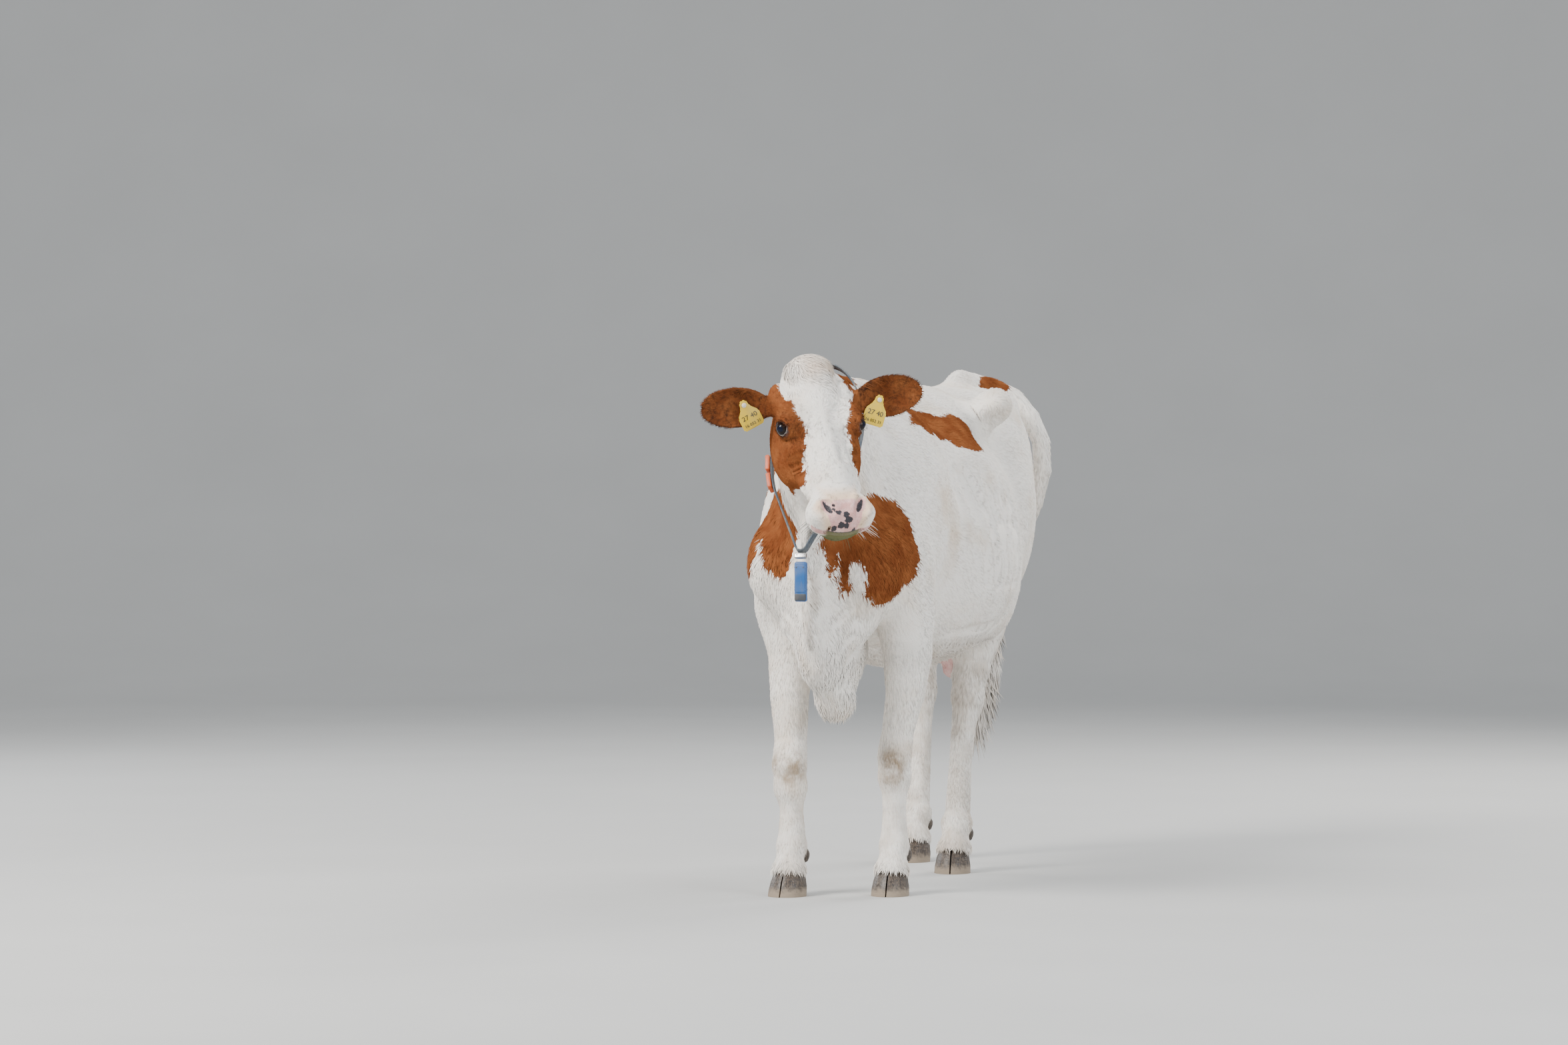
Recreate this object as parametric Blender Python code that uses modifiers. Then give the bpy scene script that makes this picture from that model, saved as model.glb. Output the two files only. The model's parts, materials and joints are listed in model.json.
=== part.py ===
"""A red-and-white dairy heifer, a still life-size model: it faces -Y, its left is +X, Z is up, in metres."""
import math

import bmesh
import bpy
import numpy as np
from mathutils import Euler, Matrix, Vector

# Driving sizes. While the body is shaped, the point between the two fore feet is the origin.
WITHERS = 1.325
TAILHEAD = 1.365
BELLY_FLOOR = 0.568
HALF_BARREL = 0.315
HOOK_PLACE = (0.198, 0.79, 1.258)
PIN_PLACE = (0.118, 1.215, 1.262)
GAP = 0.0003
SPAN_MARGIN = 0.08
VOXEL = 0.0095
BODY_TRIANGLES = 4500
HEAD_DENSITY = 0.15
FOOT_DENSITY = 0.08

# The head has its own frame: x to its left, y from the muzzle back to the poll, z out of its brow.
POLL_PLACE = (0.041, -0.425, 1.372)
HEAD_YAW = 36.0
HEAD_PITCH = 52.0
HEAD_ROLL = -5.0
EYE_PLACE = (0.0945, -0.178, -0.041)
EYE_RADIUS = 0.0195
NOSTRIL_PLACE = (0.038, -0.437, -0.015)
MOUTH_HEIGHT = -0.075
MUZZLE_FRONT = -0.486

# The outline, in the head's own y and z, along which the head is parted from the neck.
HEAD_CUT = [(-0.62, 0.12), (0.075, 0.12), (0.035, -0.015), (-0.035, -0.125), (-0.105, -0.200),
            (-0.200, -0.243), (-0.300, -0.268), (-0.62, -0.30)]

# Each ear has a frame: x out to its tip, y towards its upper rim, z out of its hollow.
EAR_LENGTH = 0.196
EAR_HALF_WIDTH = 0.053
EAR_BASE = (0.095, -0.095, -0.060)
EAR_TURNS = {"left": (42.0, -4.0, 5.0), "right": (54.0, 0.0, 2.0)}

# Feet: side, place of the foot's middle, and how far the toes point outward in degrees.
FORE_FEET = {"left": (0.128, 0.045, 4.0), "right": (-0.121, -0.045, -4.0)}
FOREARM_SPREAD = {"left": 0.036, "right": 0.014}
HIND_FEET = {"left": (0.100, 0.760, 8.0), "right": (-0.104, 1.085, -9.0)}
CLAW_LENGTH = 0.112
CLAW_WIDTH = 0.048
CLAW_HEIGHT = 0.074
CLAW_CLEFT = 0.004
CORONET_FRONT = 0.068
CORONET_SLOPE = 16.0
DEWCLAW_RADIUS = 0.0125

STRAP_WIDTH = 0.024
STRAP_THICKNESS = 0.004
STRAP_CLEARANCE = 0.011
COLLAR_CENTRE = (0.012, -0.300, 1.120)
COLLAR_CLIP = (0.020, -0.425, 0.894)
COLLAR_STATIONS = 44
BLOCK_SIZE = (0.034, 0.011, 0.042)
BLOCK_HEIGHTS = {"upper": 1.110, "lower": 1.067}

TAG_THICKNESS = 0.002
TAG_CLEARANCE = 0.007
TAG_SPOTS = {"left": (0.075, -0.004), "right": (0.085, -0.010)}
TAG_TILTS = {"left": -16.0, "right": 30.0}
STUD_RADIUS = 0.0042

COLLECTION = "dairy_heifer"
CUTTERS = "cutters"

WHITE_HAIR = (0.83, 0.79, 0.74, 1.0)
RUST_HAIR = (0.33, 0.11, 0.04, 1.0)
HORN = (0.16, 0.13, 0.11, 1.0)
EYE_DARK = (0.012, 0.012, 0.016, 1.0)
STRAP_GREY = (0.12, 0.15, 0.18, 1.0)
BOX_BLUE = (0.02, 0.13, 0.34, 1.0)
BLOCK_ORANGE = (0.72, 0.13, 0.03, 1.0)
TAG_YELLOW = (0.85, 0.62, 0.03, 1.0)
STEEL = (0.55, 0.55, 0.56, 1.0)


# ---------------------------------------------------------------- masses and limbs

def turned(degrees):
    return Euler([math.radians(angle) for angle in degrees]).to_matrix()


def head_matrix():
    yaw = Matrix.Rotation(math.radians(HEAD_YAW), 4, "Z")
    pitch = Matrix.Rotation(math.radians(HEAD_PITCH), 4, "X")
    roll = Matrix.Rotation(math.radians(HEAD_ROLL), 4, "Y")
    return Matrix.Translation(POLL_PLACE) @ yaw @ pitch @ roll


def ear_matrix(side):
    """The left ear's frame is set in the head's, and the right ear's is its mirror image."""
    place = Matrix.LocRotScale(Vector(EAR_BASE), turned(EAR_TURNS[side]).to_quaternion(), None)
    if side == "right":
        place = Matrix.Diagonal((-1, 1, 1, 1)) @ place @ Matrix.Diagonal((1, -1, 1, 1))
    return head_matrix() @ place


def mass(centre, radii, turn=(0, 0, 0), blend=0.03, frame=None, carve=False):
    """An ellipsoid of flesh or bone. A carved one is taken away from what stands before it."""
    place = (frame or Matrix.Identity(4)) @ Matrix.LocRotScale(Vector(centre), turned(turn), None)
    return {"kind": "mass", "place": place, "radii": radii, "blend": blend, "carve": carve}


def pair(centre, radii, turn=(0, 0, 0), blend=0.03, frame=None, carve=False):
    """The same mass on the left and, mirrored, on the right."""
    mirrored_centre = (-centre[0], centre[1], centre[2])
    mirrored_turn = (turn[0], -turn[1], -turn[2])
    return [
        mass(centre, radii, turn, blend, frame, carve),
        mass(mirrored_centre, radii, mirrored_turn, blend, frame, carve),
    ]


def limb(joints, blend=0.02, frame=None, carve=False):
    """A tapered round limb through joints of (x, y, z, radius)."""
    place = frame or Matrix.Identity(4)
    points = [(*(place @ Vector(joint[:3])), joint[3]) for joint in joints]
    return {"kind": "limb", "joints": points, "blend": blend, "carve": carve}


def trunk_masses():
    """Chest, barrel, loin, rump and what stands out on them."""
    hook_x, hook_y, hook_z = HOOK_PLACE
    pin_x, pin_y, pin_z = PIN_PLACE
    barrel_half_height = 0.345
    masses = [
        mass((0, 0.22, 0.965), (0.235, 0.36, 0.335), blend=0.05),
        mass((0, 0.60, 0.925), (HALF_BARREL - 0.02, 0.43, barrel_half_height), blend=0.05),
        mass((0, 0.56, BELLY_FLOOR + 0.262), (HALF_BARREL - 0.008, 0.40, 0.262), blend=0.06),
        mass((0, 0.74, 1.185), (0.155, 0.32, 0.125), blend=0.05),
        mass((0, 1.00, 1.120), (0.205, 0.265, 0.198), blend=0.05),
        mass((0, 1.185, TAILHEAD - 0.066), (0.038, 0.135, 0.066), turn=(-3, 0, 0), blend=0.05),
        mass((0, 0.30, 1.255), (0.055, 0.55, 0.055), blend=0.07),
        mass((0, 0.06, WITHERS - 0.105), (0.070, 0.20, 0.105), blend=0.06),
        mass((0, -0.10, 0.875), (0.175, 0.175, 0.265), turn=(-12, 0, 0), blend=0.05),
    ]
    masses += pair((hook_x, hook_y, hook_z), (0.052, 0.080, 0.054), turn=(0, 0, 20), blend=0.08)
    masses += pair((0.085, 1.110, 1.165), (0.110, 0.140, 0.140), turn=(-12, 0, 0), blend=0.06)
    masses += pair((pin_x, pin_y, pin_z - 0.006), (0.034, 0.046, 0.040), blend=0.06)
    masses += pair((0.128, 1.02, 0.985), (0.118, 0.215, 0.275), turn=(6, 0, 0), blend=0.05)
    masses += pair((0.128, 0.04, 0.990), (0.080, 0.145, 0.275), turn=(-17, -12, 0), blend=0.05)
    masses += pair((0.134, -0.165, 0.855), (0.064, 0.080, 0.095), turn=(-15, 0, 0), blend=0.06)
    masses += pair((0.172, 0.040, 0.780), (0.060, 0.105, 0.135), turn=(15, 0, 0), blend=0.045)
    masses += pair((0.235, 0.700, 1.175), (0.050, 0.095, 0.060), blend=0.05, carve=True)
    return masses


def brisket_masses():
    """The keel of loose skin from the throat down to the lobe between the forelegs."""
    return [
        mass((0.006, -0.175, 0.680), (0.070, 0.105, 0.150), turn=(-22, 0, 0), blend=0.045),
        mass((0.008, -0.275, 0.800), (0.026, 0.062, 0.150), turn=(-14, 0, 0), blend=0.05),
        limb([(0.008, -0.262, 0.710, 0.030), (0.014, -0.190, 0.590, 0.038), (0.022, -0.125, 0.497, 0.043)],
             blend=0.035),
        limb([(0.018, -0.125, 0.520, 0.040), (0.010, -0.050, 0.545, 0.044), (0.0, 0.040, 0.610, 0.050)],
             blend=0.05),
        limb([(0.006, -0.100, 0.620, 0.060), (0.0, 0.020, 0.640, 0.055)], blend=0.05),
    ]


def neck_masses():
    return [
        mass((0.0, -0.070, 1.085), (0.130, 0.200, 0.240), turn=(-28, 0, 0), blend=0.06),
        mass((0.010, -0.225, 1.140), (0.093, 0.165, 0.205), turn=(-26, 0, -6), blend=0.06),
        mass((0.028, -0.330, 1.200), (0.084, 0.130, 0.160), turn=(-30, 0, -12), blend=0.05),
        mass((0.006, -0.150, 1.262), (0.042, 0.240, 0.062), turn=(-7, 0, -5), blend=0.06),
        mass((0.022, -0.345, 0.985), (0.024, 0.060, 0.150), turn=(-4, 0, 0), blend=0.05),
        mass((0.040, -0.395, 1.105), (0.050, 0.070, 0.085), turn=(-20, 0, 0), blend=0.05),
    ]


def head_masses():
    """Skull, jaws, cheeks and muzzle, in the head's own frame."""
    head = head_matrix()
    eye_x, eye_y, eye_z = EYE_PLACE
    nostril_x, nostril_y, nostril_z = NOSTRIL_PLACE
    masses = [
        mass((0, -0.085, -0.088), (0.082, 0.112, 0.088), blend=0.03, frame=head),
        mass((0, -0.135, -0.068), (0.098, 0.100, 0.064), blend=0.03, frame=head),
        mass((0, -0.014, -0.040), (0.062, 0.050, 0.052), blend=0.03, frame=head),
        mass((0, -0.290, -0.068), (0.062, 0.150, 0.056), turn=(-2, 0, 0), blend=0.035, frame=head),
        mass((0, -0.270, -0.118), (0.058, 0.150, 0.062), turn=(-7, 0, 0), blend=0.035, frame=head),
        mass((0, -0.420, -0.062), (0.079, 0.058, 0.046), blend=0.025, frame=head),
        mass((0, -0.432, -0.086), (0.074, 0.050, 0.044), blend=0.02, frame=head),
        mass((0, -0.402, -0.136), (0.050, 0.062, 0.030), turn=(-6, 0, 0), blend=0.015, frame=head),
        mass((0, -0.448, -0.101), (0.046, 0.034, 0.023), blend=0.008, frame=head),
        mass((0, -0.165, -0.175), (0.046, 0.110, 0.048), turn=(-14, 0, 0), blend=0.05, frame=head),
    ]
    masses += pair((0.066, -0.180, -0.132), (0.044, 0.115, 0.076), turn=(-12, 0, 3), blend=0.03, frame=head)
    masses += pair((0.082, -0.158, -0.034), (0.031, 0.050, 0.029), turn=(0, 0, 6), blend=0.025, frame=head)
    masses += pair((0.084, -0.066, -0.058), (0.026, 0.034, 0.032), blend=0.025, frame=head)
    masses += pair((0.054, -0.430, -0.076), (0.029, 0.042, 0.029), blend=0.02, frame=head)
    masses += pair((0.052, -0.285, -0.086), (0.022, 0.080, 0.022), turn=(-6, 0, 6), blend=0.03, frame=head)
    masses += pair((nostril_x + 0.012, nostril_y - 0.007, nostril_z - 0.033), (0.034, 0.030, 0.028),
                   blend=0.015, frame=head)
    masses += pair((0.075, -0.256, -0.070), (0.020, 0.060, 0.022), blend=0.03, frame=head, carve=True)
    masses += pair((eye_x + 0.023, eye_y - 0.012, eye_z), (0.020, 0.028, 0.0185), turn=(0, 0, -22),
                   blend=0.010, frame=head, carve=True)
    masses += pair(NOSTRIL_PLACE, (0.0090, 0.026, 0.016), turn=(0, -15, -28), blend=0.008, frame=head,
                   carve=True)
    masses += [mass((0, MUZZLE_FRONT - 0.004, MOUTH_HEIGHT), (0.062, 0.046, 0.003), blend=0.008, frame=head,
                    carve=True)]
    return masses


def ear_masses():
    """Each ear is a leaf with a narrow neck, hollowed from in front."""
    masses = []
    for side in EAR_TURNS:
        ear = ear_matrix(side)
        masses += [
            limb([(-0.020, 0, -0.004, 0.026), (0.030, 0, -0.004, 0.024), (0.060, 0, -0.004, 0.022)],
                 blend=0.02, frame=ear),
            mass((EAR_LENGTH * 0.53, 0, 0), (EAR_LENGTH * 0.47, EAR_HALF_WIDTH, 0.021), blend=0.016, frame=ear),
            mass((EAR_LENGTH * 0.60, -0.002, 0.047), (0.122, 0.074, 0.057), blend=0.008, frame=ear, carve=True),
        ]
    return masses


def foreleg_limbs(side, foot):
    out = 1 if side == "left" else -1
    x, y, _ = foot
    spread = FOREARM_SPREAD[side]
    knee = 0.336 + 0.012 * out
    return [
        limb([(out * 0.158, 0.035, 0.730, 0.076), (x + out * spread * 1.2, 0.020, 0.620, 0.066),
              (x + out * spread, y * 0.4 + 0.005, 0.520, 0.053),
              (x + out * spread * 0.4, y * 0.7, knee + 0.075, 0.044),
              (x + out * 0.003, y - 0.006, knee + 0.010, 0.0475),
              (x + out * 0.002, y - 0.004, knee - 0.040, 0.041)], blend=0.04),
        limb([(x + out * 0.002, y, knee - 0.050, 0.036), (x, y + 0.002, 0.215, 0.0315),
              (x, y + 0.004, 0.165, 0.035)], blend=0.03),
        limb([(x - 0.009, y + 0.004, 0.128, 0.029), (x + 0.009, y + 0.004, 0.128, 0.029)], blend=0.02),
        limb([(x, y - 0.002, 0.125, 0.035), (x, y - 0.022, 0.080, 0.035)], blend=0.02),
        mass((x, y - 0.022, 0.062), (0.046, 0.050, 0.036), turn=(CORONET_SLOPE, 0, 0), blend=0.02),
        mass((x, y + 0.034, 0.112), (0.027, 0.022, 0.030), turn=(25, 0, 0), blend=0.02),
    ]


def hindleg_limbs(side, foot):
    out = 1 if side == "left" else -1
    x, y, _ = foot
    hock_y = y + 0.085
    stifle_y = 0.5 * (hock_y + 0.80) - 0.02
    calf_y = 0.5 * (stifle_y + hock_y) + 0.045
    hock = Vector((x + out * 0.010, hock_y, 0.478))
    return [
        limb([(out * 0.130, 0.97, 1.00, 0.125), (out * 0.152, stifle_y + 0.03, 0.790, 0.096),
              (out * 0.138, calf_y, 0.665, 0.072),
              (out * 0.124, hock_y + 0.022, 0.570, 0.050), (hock.x, hock_y, 0.490, 0.046)], blend=0.045),
        limb([(out * 0.140, calf_y + 0.035, 0.665, 0.036), (hock.x, hock_y + 0.058, 0.570, 0.020),
              (hock.x, hock_y + 0.050, 0.498, 0.023), (hock.x, hock_y + 0.030, 0.440, 0.026)], blend=0.03),
        limb([(hock.x, hock_y - 0.006, 0.455, 0.043), (x + out * 0.004, hock_y - 0.022, 0.390, 0.035),
              (x, y + 0.040, 0.280, 0.032), (x, y + 0.020, 0.175, 0.035)], blend=0.03),
        limb([(x - 0.012, y + 0.010, 0.132, 0.030), (x + 0.012, y + 0.010, 0.132, 0.030)], blend=0.02),
        limb([(x, y + 0.002, 0.128, 0.036), (x, y - 0.020, 0.082, 0.036)], blend=0.02),
        mass((x, y - 0.022, 0.062), (0.048, 0.050, 0.036), turn=(CORONET_SLOPE, 0, 0), blend=0.02),
        mass((x, y + 0.040, 0.116), (0.027, 0.022, 0.030), turn=(25, 0, 0), blend=0.02),
    ]


def flank_masses():
    """The fold of skin that joins each thigh to the belly, and the small udder with its teats."""
    masses = pair((0.195, 0.745, 0.765), (0.040, 0.130, 0.130), turn=(-25, 0, -12), blend=0.06)
    masses += [mass((0, 0.880, 0.630), (0.090, 0.125, 0.075), blend=0.05)]
    for x in (-0.042, 0.042):
        for y in (0.850, 0.925):
            masses += [limb([(x, y, 0.585, 0.016), (x * 1.15, y, 0.535, 0.011)], blend=0.015)]
    return masses


def tail_limbs():
    """The tail leaves the rump to the cow's left and swings back behind the hocks."""
    dock = [(0.0, 1.175, 1.305, 0.036), (0.014, 1.262, 1.322, 0.034), (0.054, 1.320, 1.312, 0.031),
            (0.110, 1.342, 1.284, 0.029), (0.155, 1.350, 1.232, 0.028), (0.184, 1.355, 1.165, 0.028),
            (0.188, 1.358, 1.085, 0.027), (0.167, 1.358, 0.990, 0.025), (0.128, 1.352, 0.890, 0.022),
            (0.084, 1.345, 0.790, 0.020), (0.046, 1.338, 0.690, 0.020)]
    switch = [(0.046, 1.338, 0.690, 0.020), (0.026, 1.332, 0.600, 0.034), (0.012, 1.328, 0.500, 0.037),
              (0.004, 1.325, 0.410, 0.022), (0.002, 1.325, 0.350, 0.008)]
    return [limb(dock, blend=0.02), limb(switch, blend=0.02)]


def whole_body():
    parts = trunk_masses() + brisket_masses() + neck_masses() + flank_masses()
    for side in ("left", "right"):
        parts += foreleg_limbs(side, FORE_FEET[side])
        parts += hindleg_limbs(side, HIND_FEET[side])
    return parts + head_masses() + ear_masses() + tail_limbs()


# ---------------------------------------------------------------- distance to the form

def mass_distance(points, item):
    place = np.array(item["place"])
    radii = np.array(item["radii"])
    local = (points - place[:3, 3]) @ place[:3, :3]
    scaled = np.linalg.norm(local / radii, axis=1)
    slope = np.linalg.norm(local / radii ** 2, axis=1) + 1e-9
    return scaled * (scaled - 1.0) / slope


def limb_distance(points, item):
    nearest = np.full(len(points), 1e3)
    joints = np.array(item["joints"])
    for start, end in zip(joints[:-1], joints[1:]):
        axis = end[:3] - start[:3]
        along = np.clip((points - start[:3]) @ axis / (axis @ axis), 0.0, 1.0)
        middle = start[:3] + along[:, None] * axis
        radius = start[3] + along * (end[3] - start[3])
        nearest = np.minimum(nearest, np.linalg.norm(points - middle, axis=1) - radius)
    return nearest


def smooth_min(first, second, blend):
    share = np.clip(0.5 + 0.5 * (second - first) / blend, 0.0, 1.0)
    return second + (first - second) * share - blend * share * (1.0 - share)


def span(item):
    """Lowest and highest corner of the space in which a part can change the form."""
    if item["kind"] == "mass":
        centre = np.array(item["place"])[:3, 3]
        reach = np.abs(np.array(item["place"])[:3, :3]) @ np.array(item["radii"])
        return centre - reach - SPAN_MARGIN, centre + reach + SPAN_MARGIN
    joints = np.array(item["joints"])
    reach = joints[:, 3:]
    low = (joints[:, :3] - reach).min(axis=0)
    high = (joints[:, :3] + reach).max(axis=0)
    return low - SPAN_MARGIN, high + SPAN_MARGIN


def form_distance(points, parts):
    """Distance to the joined form, below zero inside it. Each part flows into those before it."""
    total = np.full(len(points), 1.0)
    for item in parts:
        low, high = span(item)
        near = np.flatnonzero(((points > low) & (points < high)).all(axis=1))
        if not len(near):
            continue
        measure = mass_distance if item["kind"] == "mass" else limb_distance
        distance = measure(points[near], item)
        if item["carve"]:
            total[near] = -smooth_min(-total[near], distance, item["blend"])
        else:
            total[near] = smooth_min(total[near], distance, item["blend"])
    return total


def form_slope(points, parts, here, step=0.0005):
    slope = np.zeros_like(points)
    for axis in range(3):
        shift = np.zeros(3)
        shift[axis] = step
        slope[:, axis] = form_distance(points + shift, parts) - here
    return slope / step


def settled(points, parts, rounds=3, reach=0.012):
    """Moves points along the slope until they lie on the joined form."""
    for _ in range(rounds):
        distance = form_distance(points, parts)
        slope = form_slope(points, parts, distance)
        step = distance / np.maximum((slope ** 2).sum(axis=1), 0.1)
        points = points - np.clip(step, -reach, reach)[:, None] * slope
    return points


# ---------------------------------------------------------------- Blender helpers

def clear_scene():
    for obj in list(bpy.data.objects):
        bpy.data.objects.remove(obj, do_unlink=True)


def make_collection(name):
    collection = bpy.data.collections.new(name)
    bpy.context.scene.collection.children.link(collection)
    return collection


def make_material(name, colour, roughness, metallic=0.0):
    material = bpy.data.materials.new(name)
    material.use_nodes = True
    shader = material.node_tree.nodes["Principled BSDF"]
    shader.inputs["Base Color"].default_value = colour
    shader.inputs["Roughness"].default_value = roughness
    shader.inputs["Metallic"].default_value = metallic
    material.diffuse_color = colour
    return material


def object_from(name, mesh, collection, material=None, smooth=True):
    obj = bpy.data.objects.new(name, mesh)
    collection.objects.link(obj)
    if material:
        mesh.materials.clear()
        mesh.materials.append(material)
    if smooth:
        mesh.shade_smooth()
    return obj


def mesh_from(builder, name):
    shape = bmesh.new()
    builder(shape)
    mesh = bpy.data.meshes.new(name)
    shape.to_mesh(mesh)
    shape.free()
    return mesh


def evaluated_mesh(obj):
    graph = bpy.context.evaluated_depsgraph_get()
    return bpy.data.meshes.new_from_object(obj.evaluated_get(graph))


def baked(obj):
    """Applies the object's modifiers to its own mesh."""
    mesh = evaluated_mesh(obj)
    obj.modifiers.clear()
    obj.data = mesh
    return obj


def read_points(mesh):
    points = np.empty(len(mesh.vertices) * 3)
    mesh.vertices.foreach_get("co", points)
    return points.reshape(-1, 3)


def write_points(mesh, points):
    mesh.vertices.foreach_set("co", points.ravel())
    mesh.update()


def add_boolean(obj, cutter, operation):
    modifier = obj.modifiers.new(operation.lower(), "BOOLEAN")
    modifier.operation = operation
    modifier.solver = "EXACT"
    modifier.object = cutter
    return modifier


def make_cutter(name, mesh, cutters, matrix=None):
    cutter = object_from(name, mesh, cutters, smooth=False)
    cutter.matrix_world = matrix or Matrix.Identity(4)
    cutter.hide_render = True
    cutter.display_type = "WIRE"
    return cutter


# ---------------------------------------------------------------- the body in one piece

def add_primitives(shape, parts):
    """Spheres and cones in the place of every mass and limb, as a rough first body."""
    for item in parts:
        if item["carve"]:
            continue
        if item["kind"] == "mass":
            flip = -1.0 if item["place"].determinant() < 0.0 else 1.0
            scale = Matrix.Diagonal((flip * item["radii"][0], item["radii"][1], item["radii"][2], 1.0))
            bmesh.ops.create_icosphere(shape, subdivisions=4, radius=1.0, matrix=item["place"] @ scale)
            continue
        for joint in item["joints"]:
            place = Matrix.Translation(joint[:3])
            bmesh.ops.create_icosphere(shape, subdivisions=3, radius=joint[3], matrix=place)
        for start, end in zip(item["joints"][:-1], item["joints"][1:]):
            axis = Vector(end[:3]) - Vector(start[:3])
            middle = 0.5 * (Vector(end[:3]) + Vector(start[:3]))
            turn = axis.to_track_quat("Z", "Y").to_matrix().to_4x4()
            bmesh.ops.create_cone(shape, cap_ends=True, segments=24, radius1=start[3], radius2=end[3],
                                  depth=axis.length, matrix=Matrix.Translation(middle) @ turn)


def head_share(points):
    """1 on the head and ears, 0 behind the neck's middle: there the surface keeps more triangles."""
    poll = np.array(POLL_PLACE)
    reach = np.linalg.norm(points - poll - np.array((0.07, -0.10, -0.14)), axis=1)
    return np.clip((0.42 - reach) / 0.12, 0.0, 1.0)


def foot_share(points):
    return np.clip((0.18 - points[:, 2]) / 0.08, 0.0, 1.0)


def body_surface(parts, cutters):
    """Remeshes the rough body, lays it on the joined form and thins it to the triangle budget."""
    joined = mesh_from(lambda shape: add_primitives(shape, parts), "whole_body")
    body = object_from("whole_body", joined, cutters)
    body.hide_render = True
    remesh = body.modifiers.new("voxels", "REMESH")
    remesh.mode = "VOXEL"
    remesh.voxel_size = VOXEL
    baked(body)
    for relax_rounds in (8, 4, 0):
        points = settled(read_points(body.data), parts)
        write_points(body.data, points)
        if relax_rounds:
            relax = body.modifiers.new("relax", "SMOOTH")
            relax.factor = 0.5
            relax.iterations = relax_rounds
            baked(body)
    dense = body.vertex_groups.new(name="keep")
    points = read_points(body.data)
    weights = np.clip(head_share(points) * HEAD_DENSITY + FOOT_DENSITY * foot_share(points), 0.0, 1.0)
    for index, weight in enumerate(weights):
        if weight > 0.01:
            dense.add([index], float(weight), "REPLACE")
    thin = body.modifiers.new("thin", "DECIMATE")
    thin.ratio = BODY_TRIANGLES / (2.0 * len(body.data.polygons))
    thin.vertex_group = "keep"
    thin.invert_vertex_group = True
    thin.vertex_group_factor = 0.3
    thin.use_collapse_triangulate = True
    baked(body)
    return body


# ---------------------------------------------------------------- parting the body

def box_matrix(face_middle, inward, size, tilt_up=(0, 0, 1)):
    """A box whose near face has its middle at face_middle and that reaches size[2] along inward."""
    axis = Vector(inward).normalized()
    across = axis.cross(Vector(tilt_up)).normalized()
    other = axis.cross(across)
    turn = Matrix((across, other, axis)).transposed().to_4x4()
    middle = Vector(face_middle) + axis * size[2] * 0.5
    return Matrix.Translation(middle) @ turn @ Matrix.Diagonal((*size, 1.0))


def grown(matrix, by):
    """The same box with every face moved out by a small length."""
    lengths = [matrix.col[axis].to_3d().length for axis in range(3)]
    factors = [(length + 2.0 * by) / length for length in lengths]
    return matrix @ Matrix.Diagonal((*factors, 1.0))


def box_cutter(name, matrix, cutters):
    mesh = mesh_from(lambda shape: bmesh.ops.create_cube(shape, size=1.0, matrix=matrix), name)
    return make_cutter(name, mesh, cutters)


def head_cutter(name, by, cutters):
    """A block round the head whose back follows the line behind the poll, the ears and the jaw."""
    shape = bmesh.new()
    middle = Vector((HEAD_CUT[0][0] + HEAD_CUT[-2][0], HEAD_CUT[0][1] + HEAD_CUT[-2][1])) * 0.5
    corners = []
    for y, z in HEAD_CUT:
        away = (Vector((y, z)) - middle).normalized() * by
        corners.append(shape.verts.new((-0.20 - by, y + away.x, z + away.y)))
    side = shape.faces.new(corners)
    pushed = bmesh.ops.extrude_face_region(shape, geom=[side])
    moved = [item for item in pushed["geom"] if isinstance(item, bmesh.types.BMVert)]
    bmesh.ops.translate(shape, vec=(0.40 + 2.0 * by, 0, 0), verts=moved)
    bmesh.ops.recalc_face_normals(shape, faces=shape.faces)
    bmesh.ops.transform(shape, matrix=head_matrix(), verts=shape.verts)
    mesh = bpy.data.meshes.new(name)
    shape.to_mesh(mesh)
    shape.free()
    return make_cutter(name, mesh, cutters)


def largest_piece(mesh):
    """Keeps the largest loose piece of a mesh, as a cut can leave slivers."""
    shape = bmesh.new()
    shape.from_mesh(mesh)
    left = set(shape.verts)
    pieces = []
    while left:
        piece = set()
        stack = [left.pop()]
        while stack:
            vertex = stack.pop()
            piece.add(vertex)
            for edge in vertex.link_edges:
                other = edge.other_vert(vertex)
                if other in left:
                    left.discard(other)
                    stack.append(other)
        pieces.append(piece)
    pieces.sort(key=len)
    extra = [vertex for piece in pieces[:-1] for vertex in piece]
    bmesh.ops.delete(shape, geom=extra, context="VERTS")
    shape.to_mesh(mesh)
    shape.free()


def part_off(body, name, inside, outside, material, parts_collection):
    """Takes what lies in a cutter off the body as a piece of its own, a small gap away."""
    piece = object_from(name, body.data.copy(), parts_collection, material)
    add_boolean(piece, inside, "INTERSECT")
    baked(piece)
    largest_piece(piece.data)
    add_boolean(body, outside, "DIFFERENCE")
    baked(body)
    return piece


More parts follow.
